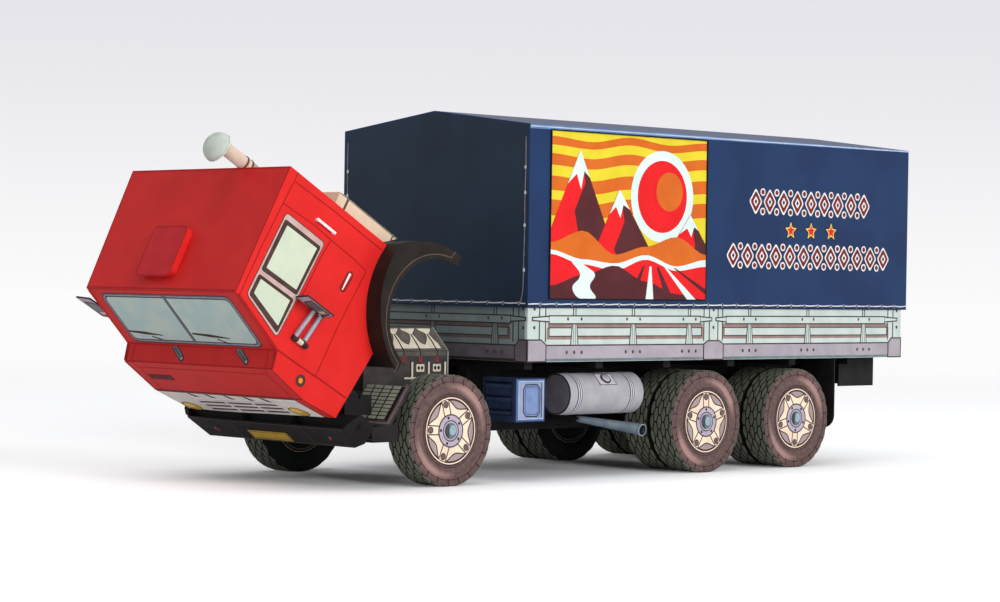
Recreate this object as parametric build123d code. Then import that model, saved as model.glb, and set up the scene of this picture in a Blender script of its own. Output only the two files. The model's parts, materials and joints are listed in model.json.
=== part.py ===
from build123d import *
import math
import os

# Decorated card truck, a 1:32 model with three axles, a tilt over its bed and its cab tipped forward.
# Millimetres. The front faces -Y, +X is the vehicle's left, +Z is up and the ground is z = 0.
# Until the whole model is centred at the end, y is measured backwards from the front axle.

# Card thicknesses and the gap left between glued pieces that only lie beside each other
card = 0.5
board = 1.0
seat_gap = 0.1

# Sides of the rolled card drums, tubes, pins and bores, which crease into narrow flats
wheel_sides = 48
tank_sides = 28
tube_sides = 16
bore_sides = 24

# Wheels and axles
wheel_radius = 15.0
tyre_width = 8.6
rim_radius = 9.3
front_wheel_face = 35.7
rear_wheel_face = 37.5
twin_gap = 1.5
wheelbase = 100.9
bogie_spacing = 41.0
stub_radius = 1.0
stub_clearance = 0.06
stub_depth = 5.0
end_play = 0.3
axle_tube_radius = 1.9
backbone_radius = 3.2
axle_housing_radius = 4.6
axle_housing_width = 9.0
backbone_tail = 4.0

# Chassis
rear_axle_y = wheelbase + bogie_spacing
rail_outer = 13.4
rail_flange = 3.6
rail_low = 17.0
rail_top = 25.0
rail_front = -25.0
cross_member_length = 4.0
cross_member_low = 19.0
cross_member_places = (22.5, wheelbase - 20.0, wheelbase + bogie_spacing / 2)
saddle_half = 4.0

# Engine
engine_top_half = 6.6
engine_top = 42.3
engine_bank_drop = 6.5
engine_front = -12.0
engine_back = 19.5
sump_half = 7.0
sump_inset = 2.0

# Bumper: corners of the leaning face and of the panels swept back at each end
bumper_foot = (31.0, -29.8, 11.1)
bumper_corner = (33.0, -36.2, 16.2)
bumper_peak = (37.4, -33.6, 20.2)
bumper_tail = (38.3, -29.4, 16.7)
bumper_heel = (33.6, -28.6, 12.3)
horn_inner = 9.8
horn_back = -25.0
horn_height = 2.5
horn_setback = 4.0
brace_width = 1.2

# Steps ahead of the front wheels
step_inner = 17.5
step_outer = 35.3
step_plate_foot = (-21.6, 16.8)
step_plate_head = (-14.2, 27.2)
step_front = -27.6
step_low = 12.6
step_box_back = 3.0
step_shelf_rise = 1.6
step_recess_depth = 1.2
step_recess_setback = 1.5
step_arm_half = 2.0
step_arm_height = 2.4

# Boxes, tanks and exhaust beside the rails
arm_low = 18.0
arm_height = 2.6
locker_inner = 24.0
locker_outer = 37.0
locker_front = 22.9
locker_back = 34.3
locker_low = 16.7
locker_top = 28.8
locker_frame = 1.2
locker_recess = 0.3
locker_arm_width = 2.0
tank_radius = 5.9
tank_x = 31.2
tank_z = 23.9
tank_front = 44.3
tank_back = wheelbase - wheel_radius - 11.6
tank_strap_places = (0.13, 0.82)
tank_strap_width = 1.5
tank_strap_stand = 0.25
filler_radius = 1.5
filler_height = 1.6
filler_place = 0.52
filler_lean = 35.0
exhaust_start = (29.6, tank_front + 10.7, 16.6)
exhaust_mouth = (31.5, tank_back + 5.5, 12.9)
exhaust_start_radius = 0.9
exhaust_mouth_radius = 1.8
exhaust_bore_share = 0.6
hanger_width = 2.0
hanger_half = 0.4

# Bed, boards and tilt
bed_half = 38.55
bed_front = 25.5
bed_back = rear_axle_y + 49.7
bed_low = 33.3
board_top = 50.0
floor_low = 34.0
runner_top = 31.2
bearer_count = 6
bearer_length = 3.0
bearer_inset = 1.0
tilt_half = bed_half + seat_gap + card
tilt_front = bed_front - 2 * seat_gap - card
tilt_back = bed_back + 1.3 + card
tilt_hem = 48.3
tilt_eave = 98.9
tilt_ridge = 103.7

# Rear mud flaps and the box of panels under the tail
rail_back = bed_back - 3.1
flap_inner = 20.0
flap_outer = bed_half - 1.55
flap_y = rear_axle_y + wheel_radius + 3.6
flap_low = 11.5
flap_corner = 4.0
underrun_outer = 30.0
underrun_front = flap_y + 11.0
underrun_back = bed_back - 2.8
underrun_low = 24.0

# Cab: its hinge and how far it is tipped
hinge_y = -27.95
hinge_z = 23.8
cab_tip = 59.5
hinge_pin_radius = 1.0
hinge_pin_clearance = 0.06
hinge_boss_radius = 2.4
hinge_ear_outer = 27.2
hinge_ear_width = 2.2
hinge_beam_low = 19.5
hinge_beam_front = -24.9
hinge_beam_back = -21.0
hinge_arm_gap = 0.4
hinge_arm_width = 2.2

# Cab body in its driving position: folds of its side view, as distance ahead of the back wall and height
cab_back = 10.0
cab_roof = 78.0
roof_front = (35.7, cab_roof - 2.6)
windscreen_foot = (41.7, 55.9)
ledge_edge = (46.5, 54.4)
grille_head = (48.0, 41.6)
grille_foot = (46.7, 29.6)
sill_back = (25.5, 27.9)
cab_half_back = 34.0
cab_half_front = 31.9
tunnel_half = 16.0
tunnel_front = -22.0
tunnel_top = 45.0

# Mudguards: the arch over the wheel and the outline of its outer face
mudguard_face = 39.0
mudguard_inner = 16.5
arch_centre = (5.4, 14.6)
arch_radius = 25.5
mudguard_tip_angle = 160.8
mudguard_corner_angle = 78.7
mudguard_rear_bend = (16.3, 31.2)
mudguard_tail = (19.1, 19.0)
opening_front = (-15.6, 22.8)
opening_top = (3.0, 34.3)
opening_back = (15.9, 19.0)
mudguard_skirt = 1.2

# Small pieces on the cab
hatch_x = -2.9
hatch_forward = 24.9
hatch_width = 14.8
hatch_length = 13.6
hatch_height = 1.8
hatch_corner = 1.8
air_box_half = 30.0
air_box_depth = 5.2
air_box_top = 57.7
air_box_low = 34.4
snorkel_x = 10.9
snorkel_stand = 2.6
snorkel_radius = 1.85
snorkel_rise = 7.0
snorkel_cap_radius = 4.2
snorkel_cap_height = 4.0
snorkel_cap_shift = 1.1
snorkel_ring_places = (-3.8, -2.0)
snorkel_ring_stand = 0.25
snorkel_ring_height = 0.6
mirror_height = 10.0
mirror_reach = 4.5
mirror_arm_width = 0.8
mirror_arm_height = 1.5
mirror_arm_rise = 3.4
mirror_arm_drop = 5.0
mirror_arm_stand = 0.5
mirror_post_radius = 0.9
# distance ahead of the back wall, top, and how far its arms run forward to their post
left_mirror = (27.3, 57.8, 8.0)
right_mirror = (37.6, 72.0, -8.0)
grab_forward = 7.3
grab_top = 63.8
grab_length = 7.2
grab_width = 0.7
grab_bar = 0.4
grab_foot = 0.9
grab_stand = 0.9

# Reach of a cutting tool that has to pass right through a piece
through = 2 * wheelbase


# Small helpers

def block(x0, x1, y0, y1, z0, z1):
    return Pos((x0 + x1) / 2, (y0 + y1) / 2, (z0 + z1) / 2) * Box(x1 - x0, y1 - y0, z1 - z0)


def side_slab(outline, x0, x1):
    """A closed outline of y and z points, carried from x0 to x1."""
    return extrude(Plane.YZ.offset(x0) * make_face(Polyline(*outline, close=True)), amount=x1 - x0)


def pin(radius, x0, x1, y, z):
    """Round rod along X."""
    return Pos((x0 + x1) / 2, y, z) * Rot(Y=90) * Cylinder(radius, x1 - x0)


def drum_along_x(radius, sides, x0, x1, y=0.0, z=0.0):
    """Rolled card drum along X, with its narrow flats."""
    return extrude(Plane.YZ.offset(x0) * Pos(y, z) * RegularPolygon(radius, sides), amount=x1 - x0)


def drum_along_y(radius, sides, y0, y1, x, z):
    """Rolled card drum along Y, with its narrow flats."""
    return extrude(Plane.XZ.offset(-y0) * Pos(x, z) * RegularPolygon(radius, sides), amount=y0 - y1)


def mirrored(shape):
    return mirror(shape, about=Plane.YZ)


def inset(points, amount):
    """Move every side of a closed outline inwards; the outline runs clockwise seen along -X."""
    moved = []
    count = len(points)
    for index in range(count):
        before, here, after = points[index - 1], points[index], points[(index + 1) % count]
        first = math.atan2(here[1] - before[1], here[0] - before[0])
        second = math.atan2(after[1] - here[1], after[0] - here[0])
        turn = (first + second) / 2
        half = (second - first) / 2
        reach = amount / math.cos(half)
        moved.append((here[0] - reach * math.sin(turn), here[1] + reach * math.cos(turn)))
    return moved


# Wheels: flat printed discs on rolled drums, drawn on the X axis with the wheel on the truck's left

def inner_face(face, twins):
    """Where a wheel, or a pair of them, ends towards the middle of the truck."""
    return face - (2 * tyre_width + twin_gap if twins else tyre_width)


def tyre_ring(face):
    """One tyre whose outer face lies at x = face."""
    ring = drum_along_x(wheel_radius, wheel_sides, face - tyre_width, face)
    return ring - drum_along_x(rim_radius, wheel_sides, face - tyre_width, face)


def wheel(face, twins):
    """Tyre and rim of one wheel, or of a pair on one drum."""
    back = inner_face(face, twins)
    tyre = tyre_ring(face)
    if twins:
        tyre = Compound([tyre, tyre_ring(face - tyre_width - twin_gap)])
    rim = drum_along_x(rim_radius, wheel_sides, back, face)
    rim -= drum_along_x(stub_radius + stub_clearance, bore_sides, back, back + stub_depth)
    return tyre, rim


def axle(face, twins):
    """Tube between the wheels with a stub at each end."""
    back = inner_face(face, twins)
    tube_end = back - end_play
    stub_end = back + stub_depth - end_play
    beam = drum_along_x(axle_tube_radius, tube_sides, -tube_end, tube_end)
    return beam + drum_along_x(stub_radius, bore_sides, -stub_end, stub_end)


# Chassis

def make_frame():
    """Two channel rails joined by cross members, with the hinge beam and its ears in front."""
    rail = block(rail_outer - rail_flange, rail_outer, rail_front, rail_back, rail_low, rail_top)
    rail -= block(rail_outer - rail_flange, rail_outer - card, rail_front, rail_back,
                  rail_low + card, rail_top - card)
    frame = rail + mirrored(rail)
    reach = rail_outer - card
    top = rail_top - card
    for y in (*cross_member_places, rail_back - cross_member_length):
        frame += block(-reach, reach, y, y + cross_member_length, cross_member_low, top)
    frame += block(-hinge_ear_outer, hinge_ear_outer, hinge_beam_front, hinge_beam_back, hinge_beam_low, top)
    ear_inner = hinge_ear_outer - hinge_ear_width
    ear = block(ear_inner, hinge_ear_outer, hinge_y - hinge_boss_radius, hinge_beam_front,
                hinge_beam_low, hinge_z)
    ear += drum_along_x(hinge_boss_radius, tube_sides, ear_inner, hinge_ear_outer, hinge_y, hinge_z)
    frame += ear + mirrored(ear)
    return frame - drum_along_x(hinge_pin_radius + hinge_pin_clearance, bore_sides, -hinge_ear_outer,
                                hinge_ear_outer, hinge_y, hinge_z)


def make_backbone():
    """Central tube under the rails with a housing at each axle and saddles up to the rails."""
    height = wheel_radius
    tube = drum_along_y(backbone_radius, tube_sides, -backbone_tail, rear_axle_y + backbone_tail, 0, height)
    half = axle_housing_width / 2
    for y in (0.0, wheelbase, rear_axle_y):
        tube += drum_along_x(axle_housing_radius, tube_sides, -half, half, y, height)
    for y in cross_member_places:
        tube += block(-rail_outer, rail_outer, y, y + cross_member_length, rail_low - card, rail_low)
        tube += block(-saddle_half, saddle_half, y, y + cross_member_length, height, rail_low)
    for y in (0.0, wheelbase, rear_axle_y):
        tube -= drum_along_x(axle_tube_radius, tube_sides, -half, half, y, height)
    return tube


def make_engine():
    """V engine block that stands on the rails, its two banks sloping at 45 degrees, with its sump."""
    half = rail_outer - seat_gap
    shelf = engine_top - engine_bank_drop
    outline = [
        (-half, rail_top), (half, rail_top), (half, shelf), (engine_top_half, engine_top),
        (-engine_top_half, engine_top), (-half, shelf),
    ]
    face = Plane.XZ.offset(-engine_front) * make_face(Polyline(*outline, close=True))
    sump_low = wheel_radius + axle_housing_radius + seat_gap
    sump = block(-sump_half, sump_half, engine_front + sump_inset, engine_back - sump_inset, sump_low, rail_top)
    return extrude(face, amount=engine_front - engine_back) + sump


def sheet_from(*corners):
    """Flat card sheet with the given corners, thickened towards the middle of the front axle."""
    first, second, third = (Vector(*corner) for corner in corners[:3])
    normal = (second - first).cross(third - first).normalized()
    inwards = normal if normal.dot(Vector(0, 0, wheel_radius) - first) > 0 else -normal
    return extrude(make_face(Polyline(*corners, close=True)), amount=card, dir=inwards)


def make_bumper():
    """Leaning face with three folded panels at each end, carried on two horns from the rails."""
    foot_x, foot_y, foot_z = bumper_foot
    corner_x, corner_y, corner_z = bumper_corner
    face = sheet_from((-foot_x, foot_y, foot_z), bumper_foot, bumper_corner, (-corner_x, corner_y, corner_z))
    end = sheet_from(bumper_foot, bumper_corner, bumper_heel)
    end += sheet_from(bumper_corner, bumper_tail, bumper_heel)
    end += sheet_from(bumper_corner, bumper_peak, bumper_tail)
    horn_top = rail_low + horn_height
    horn_front = corner_y + horn_setback
    horn = block(horn_inner, rail_outer, horn_front, horn_back, rail_low, horn_top)
    bite = card / 2
    horn += side_slab([
        (foot_y + bite, foot_z + bite), (horn_back, foot_z + bite), (horn_back, horn_top),
        (horn_front, horn_top), (corner_y + bite, corner_z + bite),
    ], horn_inner, horn_inner + brace_width)
    return face + end + mirrored(end) + horn + mirrored(horn)


def make_step():
    """Left step: a sloping tread plate on a low box, with an arm to the rail."""
    foot_y, foot_z = step_plate_foot
    head_y, head_z = step_plate_head
    run = math.hypot(head_y - foot_y, head_z - foot_z)
    back_y = (head_z - foot_z) / run * card
    back_z = -(head_y - foot_y) / run * card
    plate = side_slab([
        (foot_y, foot_z), (head_y, head_z), (head_y + back_y, head_z + back_z), (foot_y + back_y, foot_z + back_z),
    ], step_inner, step_outer)
    box_back = foot_y + step_box_back
    low_box = side_slab([
        (step_front, step_low), (box_back, step_low), (box_back, foot_z + step_shelf_rise),
        (foot_y, foot_z), (step_front, foot_z),
    ], step_inner, step_outer)
    low_box -= block(step_inner + card, step_outer - card, step_front + card, foot_y - step_recess_setback,
                     foot_z - step_recess_depth, foot_z)
    arm_front = foot_y - step_arm_half
    arm_back = foot_y + step_arm_half
    arm_top = rail_low + step_arm_height
    arm = block(rail_outer, step_inner, arm_front, arm_back, rail_low, arm_top)
    arm += block(step_inner - card, step_inner, arm_front, arm_back, step_low + board, arm_top)
    return plate + low_box + arm


def make_locker():
    """Left battery box with a recessed side door, hung on two arms from the rail."""
    body = block(locker_inner, locker_outer, locker_front, locker_back, locker_low, locker_top)
    body -= block(locker_outer - locker_recess, locker_outer, locker_front + locker_frame,
                  locker_back - locker_frame, locker_low + locker_frame, locker_top - locker_frame)
    for y in (locker_front + locker_arm_width, locker_back - 2 * locker_arm_width):
        body += block(rail_outer, locker_inner, y, y + locker_arm_width, arm_low, arm_low + arm_height)
    return body


def make_tank():
    """Left fuel tank: a drum along Y with two strap bands, a filler and two arms to the rail."""
    length = tank_back - tank_front
    drum = drum_along_y(tank_radius, tank_sides, tank_front, tank_back, tank_x, tank_z)
    half = tank_strap_width / 2
    for share in tank_strap_places:
        y = tank_front + share * length
        drum += drum_along_y(tank_radius + tank_strap_stand, tank_sides, y - half, y + half, tank_x, tank_z)
        drum += block(rail_outer, tank_x, y - half, y + half, arm_low, arm_low + arm_height)
    lean = math.radians(filler_lean)
    filler = extrude(RegularPolygon(filler_radius, tube_sides), amount=tank_radius + filler_height / 2)
    place = Pos(tank_x, tank_front + filler_place * length, tank_z)
    return drum + place * Rot(Y=math.degrees(lean)) * filler


def make_exhaust():
    """Tapered tail pipe under the left tank, open at its mouth, on a hanger to the rail."""
    start = Vector(*exhaust_start)
    line = Vector(*exhaust_mouth) - start
    plane = Plane(origin=start, x_dir=(1, 0, 0), z_dir=line)
    mouth = plane.offset(line.length)
    deep = plane.offset(line.length * exhaust_bore_share)
    pipe = loft([plane * RegularPolygon(exhaust_start_radius, tube_sides),
                 mouth * RegularPolygon(exhaust_mouth_radius, tube_sides)], ruled=True)
    bore = loft([deep * RegularPolygon(exhaust_start_radius, tube_sides),
                 mouth * RegularPolygon(exhaust_mouth_radius - card, tube_sides)], ruled=True)
    hanger = block(rail_outer, start.X, start.Y, start.Y + hanger_width,
                   rail_low - hanger_half, rail_low + hanger_half)
    return (pipe - bore) + hanger


def make_flaps():
    """Two rear mud flaps with rounded feet, hung from the bed."""
    sheet = Plane.XZ.offset(-flap_y) * Pos((flap_inner + flap_outer) / 2, (bed_low + flap_low) / 2)
    flap = extrude(sheet * Rectangle(flap_outer - flap_inner, bed_low - flap_low), amount=-card)
    feet = flap.edges().filter_by(Axis.Y).group_by(Axis.Z)[0]
    flap = fillet(feet, flap_corner)
    return Compound([flap, mirrored(flap)])


def make_underrun():
    """Box of panels under the tail of the bed, open in front and below, across the frame."""
    box = block(-underrun_outer, underrun_outer, underrun_front, underrun_back, underrun_low, bed_low)
    box -= block(-underrun_outer + card, underrun_outer - card, underrun_front, underrun_back - card,
                 underrun_low, bed_low - card)
    notch = rail_outer + seat_gap
    return box - block(-notch, notch, underrun_front, underrun_back, underrun_low, runner_top)


# Bed and tilt

def make_bed_floor():
    """Floor on cross bearers, which rest on two runners along the rails."""
    inner = bed_half - board
    front = bed_front + board
    floor = block(-inner, inner, front, bed_back - board, floor_low, floor_low + board)
    back = underrun_front - bearer_inset
    runner = block(rail_outer - rail_flange, rail_outer, front, back, rail_top, runner_top)
    floor += runner + mirrored(runner)
    reach = inner - bearer_inset
    pitch = (back - front - bearer_length) / (bearer_count - 1)
    for index in range(bearer_count):
        y = front + index * pitch
        floor += block(-reach, reach, y, y + bearer_length, runner_top, floor_low)
    return floor


def make_side_board():
    return block(bed_half - board, bed_half, bed_front, bed_back, bed_low, board_top)


def make_end_board(y):
    inner = bed_half - board
    return block(-inner, inner, y, y + board, bed_low, board_top)


def tilt_outline(half, drop, hem):
    """Front view of the tilt from its hem up, as x and z."""
    return [(-half, hem), (half, hem), (half, tilt_eave - drop), (0, tilt_ridge - drop), (-half, tilt_eave - drop)]


def tilt_prism(outline, y0, y1):
    return extrude(Plane.XZ.offset(-y0) * make_face(Polyline(*outline, close=True)), amount=y0 - y1)


def make_tilt_wrap():
    """Sides and roof of the tilt, one folded sheet."""
    outer = tilt_prism(tilt_outline(tilt_half, 0, tilt_hem), tilt_front, tilt_back)
    return outer - tilt_prism(tilt_outline(tilt_half - card, card, tilt_hem - card), tilt_front, tilt_back)


def make_tilt_end(y):
    """End panel of the tilt, inside the wrap."""
    return tilt_prism(tilt_outline(tilt_half - card, card, tilt_hem), y, y + card)


# Cab, drawn in its driving position

def cab_point(fold):
    """A fold given as distance ahead of the back wall and height, as y and z."""
    return (cab_back - fold[0], fold[1])


def on_arch(angle):
    """Point of the mudguard's arch at an angle from the +Y direction."""
    turn = math.radians(angle)
    return (arch_centre[0] + arch_radius * math.cos(turn), arch_centre[1] + arch_radius * math.sin(turn))


# Side view of the cab, from the top of the back wall over the roof and down to the floor's back edge
cab_folds = [
    cab_point(fold)
    for fold in ((0.0, cab_roof), roof_front, windscreen_foot, ledge_edge, grille_head, grille_foot, sill_back)
]
mudguard_tip = on_arch(mudguard_tip_angle)
mudguard_corner = on_arch(mudguard_corner_angle)


def cab_width_prism(shrink):
    """The cab's plan, narrower at the front, as a tall prism."""
    front = cab_back - grille_head[0]
    a = cab_half_back - shrink
    b = cab_half_front - shrink
    plan = Polyline((-a, cab_back), (a, cab_back), (b, front), (-b, front), close=True)
    return extrude(make_face(plan), amount=2 * cab_roof)


def make_cab_panels():
    """Sides, roof, windscreen, front, back and floor, each one card thick."""
    outer_points = cab_folds + [cab_point((0.0, sill_back[1]))]
    inner_points = inset(outer_points, card)
    half = 2 * cab_half_back
    behind = cab_back + board
    tunnel = block(-tunnel_half, tunnel_half, tunnel_front, behind, 0, tunnel_top)
    tunnel_wall = block(-tunnel_half - card, tunnel_half + card, tunnel_front - card, behind,
                        0, tunnel_top + card)
    arch_y, arch_z = arch_centre
    box = side_slab(outer_points, -half, half) & cab_width_prism(0)
    box -= pin(arch_radius, -half, half, arch_y, arch_z)
    box -= tunnel
    room = side_slab(inner_points, -half, half) & cab_width_prism(card)
    room -= pin(arch_radius + card, -half, half, arch_y, arch_z)
    room -= tunnel_wall
    inner_plan = cab_width_prism(card)
    sides = box - inner_plan
    between = (box & inner_plan) - room
    panels = {
        "cab_side_left": sides & block(0, half, -through, through, 0, through),
        "cab_side_right": sides & block(-half, 0, -through, through, 0, through),
    }
    strips = (("cab_roof", (0, 1)), ("cab_windscreen", (1, 2)), ("cab_front", (2, 3, 4, 5)), ("cab_back", (7, 0)))
    for name, run in strips:
        outline = [outer_points[index] for index in run] + [inner_points[index] for index in reversed(run)]
        panels[name] = between & side_slab(outline, -half, half)
    floor = between
    for name, _ in strips:
        floor -= panels[name]
    panels["cab_floor"] = floor
    return panels


def make_mudguard():
    """Left mudguard: a strip bent over the wheel and a C-shaped outer face."""
    crown = on_arch((mudguard_tip_angle + mudguard_corner_angle) / 2)
    outer_front = ThreePointArc(mudguard_tip, crown, mudguard_corner)
    outer_back = ThreePointArc(mudguard_corner, mudguard_rear_bend, mudguard_tail)
    opening = ThreePointArc(opening_back, opening_top, opening_front)
    face = make_face(outer_front + outer_back + Line(mudguard_tail, opening_back) + opening
                     + Line(opening_front, mudguard_tip))
    plate = extrude(Plane.YZ.offset(mudguard_face - card) * face, amount=card)
    full = make_face(outer_front + outer_back + Line(mudguard_tail, mudguard_tip))
    (tip_y, tip_z), (tail_y, tail_z) = mudguard_tip, mudguard_tail
    slope = (tail_z - tip_z) / (tail_y - tip_y)
    margin = tail_y - tip_y
    skirt = make_face(Polyline(
        (tip_y - margin, 0), (tail_y + margin, 0), (tail_y + margin, tail_z + slope * margin + mudguard_skirt),
        (tip_y - margin, tip_z - slope * margin + mudguard_skirt), close=True,
    ))
    strip = full - offset(full, amount=-card) - skirt
    return plate + extrude(Plane.YZ.offset(mudguard_inner) * strip, amount=mudguard_face - mudguard_inner)


def make_hatch():
    """Raised hatch with rounded corners, lying on the sloping roof."""
    drop = cab_roof - roof_front[1]
    slope = math.degrees(math.atan2(drop, roof_front[0]))
    y, z = cab_point((hatch_forward, cab_roof - drop * hatch_forward / roof_front[0]))
    sheet = extrude(RectangleRounded(hatch_width, hatch_length, hatch_corner), amount=hatch_height)
    return Pos(hatch_x, y, z) * Rot(X=slope) * sheet


def mudguard_behind_cab():
    """Space that the left mudguard fills behind the back wall, with a small gap round it."""
    corner_y, corner_z = mudguard_corner
    tail_y, tail_z = mudguard_tail
    inner = corner_y - air_box_depth
    outline = make_face(ThreePointArc(mudguard_corner, mudguard_rear_bend, mudguard_tail)
                        + Polyline(mudguard_tail, (inner, tail_z), (inner, corner_z), mudguard_corner))
    grown = offset(outline, amount=seat_gap)
    return extrude(Plane.YZ.offset(mudguard_inner - seat_gap) * grown, amount=mudguard_face)


def make_air_box():
    """Shallow box on the back wall, its foot cut to sit over the mudguards and the engine tunnel."""
    rear = cab_back + air_box_depth
    body = side_slab([
        (cab_back, air_box_top), (rear, air_box_top), (rear, air_box_low),
        (cab_back, mudguard_corner[1] + 4 * seat_gap),
    ], -air_box_half, air_box_half)
    notch = tunnel_half + card
    body -= block(-notch, notch, cab_back, rear, 0, tunnel_top + card)
    seat = mudguard_behind_cab()
    return body - seat - mirrored(seat)


def make_snorkel():
    """Air intake pipe behind the back wall with two rings, its mushroom cap set a little forward."""
    y = cab_back + snorkel_stand
    head = cab_roof + snorkel_rise
    pipe = extrude(Pos(snorkel_x, y, air_box_top) * RegularPolygon(snorkel_radius, tube_sides),
                   amount=head - air_box_top)
    for rise in snorkel_ring_places:
        ring = RegularPolygon(snorkel_radius + snorkel_ring_stand, tube_sides)
        pipe += extrude(Pos(snorkel_x, y, cab_roof + rise) * ring, amount=snorkel_ring_height)
    # share of the cap's height, share of its radius
    cap_table = ((0.0, 0.98), (0.12, 1.0), (0.5, 0.9), (0.78, 0.66), (1.0, 0.22))
    cap_place = Pos(snorkel_x, y - snorkel_cap_shift, head)
    sections = [
        cap_place * Pos(0, 0, rise * snorkel_cap_height) * RegularPolygon(share * snorkel_cap_radius, tube_sides)
        for rise, share in cap_table
    ]
    return pipe + loft(sections, ruled=True)


def side_x(forward):
    """The cab side's outer surface at a distance ahead of the back wall."""
    return cab_half_back + (cab_half_front - cab_half_back) * forward / grille_head[0]


def make_mirror(forward, top, run):
    """Mirror plate square to the left side, on two arms that run along the side to a post."""
    wall = side_x(forward)
    y = cab_back - forward
    low = top - mirror_height
    mirror_piece = block(wall - seat_gap, wall + mirror_reach, y, y + card, low, top)
    foot_y = y - run
    foot_x = side_x(forward + run)
    plan = Polyline(
        (wall + mirror_arm_stand, y), (wall + mirror_arm_stand + mirror_arm_width, y),
        (foot_x + mirror_arm_stand + mirror_arm_width, foot_y), (foot_x + mirror_arm_stand, foot_y), close=True,
    )
    for drop in (mirror_arm_drop, mirror_arm_drop + mirror_arm_rise):
        place = Pos(0, 0, top - drop - mirror_arm_height)
        mirror_piece += place * extrude(make_face(plan), amount=mirror_arm_height)
    post_top = top - mirror_arm_drop + mirror_arm_stand
    post_low = post_top - mirror_arm_rise - mirror_arm_height - 2 * mirror_arm_stand
    mirror_piece += extrude(Pos(foot_x + mirror_arm_stand, foot_y, post_low)
                            * RegularPolygon(mirror_post_radius, tube_sides), amount=post_top - post_low)
    return mirror_piece - cab_width_prism(0)


def make_grab_bars():
    """A grab bar behind each door, standing off the side on two feet."""
    wall = side_x(grab_forward)
    y = cab_back - grab_forward
    low = grab_top - grab_length
    bar = block(wall, wall + grab_stand, y, y + grab_width, low, grab_top)
    bar -= block(wall - grab_stand, wall + grab_stand - grab_bar, y, y + grab_width,
                 low + grab_foot, grab_top - grab_foot)
    bar -= cab_width_prism(0)
    return Compound([bar, mirrored(bar)])


def make_hinge_arms():
    """Two arms under the cab floor with the hinge pin through them."""
    outer = hinge_ear_outer - hinge_ear_width - hinge_arm_gap
    inner = outer - hinge_arm_width
    (grille_y, grille_z), (sill_y, sill_z) = cab_point(grille_foot), cab_point(sill_back)
    slope = (sill_z - grille_z) / (sill_y - grille_y)
    front = hinge_y - hinge_boss_radius
    back = hinge_y + hinge_boss_radius
    arm = side_slab([
        (front, hinge_z), (back, hinge_z), (back, grille_z + slope * (back - grille_y)),
        (front, grille_z + slope * (front - grille_y)),
    ], inner, outer)
    arm += drum_along_x(hinge_boss_radius, tube_sides, inner, outer, hinge_y, hinge_z)
    rod = drum_along_x(hinge_pin_radius, bore_sides, -hinge_ear_outer, hinge_ear_outer, hinge_y, hinge_z)
    return arm + mirrored(arm) + rod


def tipped(shape):
    """Carry a piece drawn in the driving position to where the tipped cab holds it."""
    return Pos(0, hinge_y, hinge_z) * Rot(X=cab_tip) * Pos(0, -hinge_y, -hinge_z) * shape


# Assembly

nodes = {}
nodes["frame_rails"] = make_frame()
nodes["backbone"] = make_backbone()
nodes["engine"] = make_engine()
nodes["bumper"] = make_bumper()
for name, maker in (("step", make_step), ("locker", make_locker), ("fuel_tank", make_tank),
                    ("side_board", make_side_board)):
    piece = maker()
    nodes[f"{name}_left"] = piece
    nodes[f"{name}_right"] = mirrored(piece)
nodes["exhaust"] = make_exhaust()
nodes["mud_flaps"] = make_flaps()
nodes["underrun"] = make_underrun()
nodes["bed_floor"] = make_bed_floor()
nodes["headboard"] = make_end_board(bed_front)
nodes["tailboard"] = make_end_board(bed_back - board)
nodes["tilt_wrap"] = make_tilt_wrap()
nodes["tilt_front"] = make_tilt_end(tilt_front)
nodes["tilt_rear"] = make_tilt_end(tilt_back - card)

# name, distance behind the front axle, outer face, twin wheels
axle_table = (
    ("front", 0.0, front_wheel_face, False),
    ("mid", wheelbase, rear_wheel_face, True),
    ("rear", rear_axle_y, rear_wheel_face, True),
)
for name, y, face, twins in axle_table:
    place = Pos(0, y, wheel_radius)
    nodes[f"{name}_axle"] = place * axle(face, twins)
    tyre, rim = wheel(face, twins)
    nodes[f"{name}_tyre_left"] = place * tyre
    nodes[f"{name}_rim_left"] = place * rim
    nodes[f"{name}_tyre_right"] = place * mirrored(tyre)
    nodes[f"{name}_rim_right"] = place * mirrored(rim)

cab = make_cab_panels()
cab["mudguard_left"] = make_mudguard()
cab["mudguard_right"] = mirrored(cab["mudguard_left"])
cab["roof_hatch"] = make_hatch()
cab["air_box"] = make_air_box()
cab["snorkel"] = make_snorkel()
cab["mirror_left"] = make_mirror(*left_mirror)
cab["mirror_right"] = mirrored(make_mirror(*right_mirror))
cab["grab_bars"] = make_grab_bars()
cab["hinge_arms"] = make_hinge_arms()
for name, piece in cab.items():
    nodes[name] = tipped(piece)

# The origin is the middle of the whole model's length and width, on the ground
low_y = min(piece.bounding_box().min.Y for piece in nodes.values())
high_y = max(piece.bounding_box().max.Y for piece in nodes.values())
middle_y = (low_y + high_y) / 2

os.makedirs("parts", exist_ok=True)
for name, piece in nodes.items():
    export_step(Pos(0, -middle_y, 0) * piece, f"parts/{name}.step")

print("nodes", len(nodes), "front axle y", -middle_y, "hinge y z", hinge_y - middle_y, hinge_z)
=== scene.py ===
import json
import math

import bmesh
import bpy
from mathutils import Matrix, Vector


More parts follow.
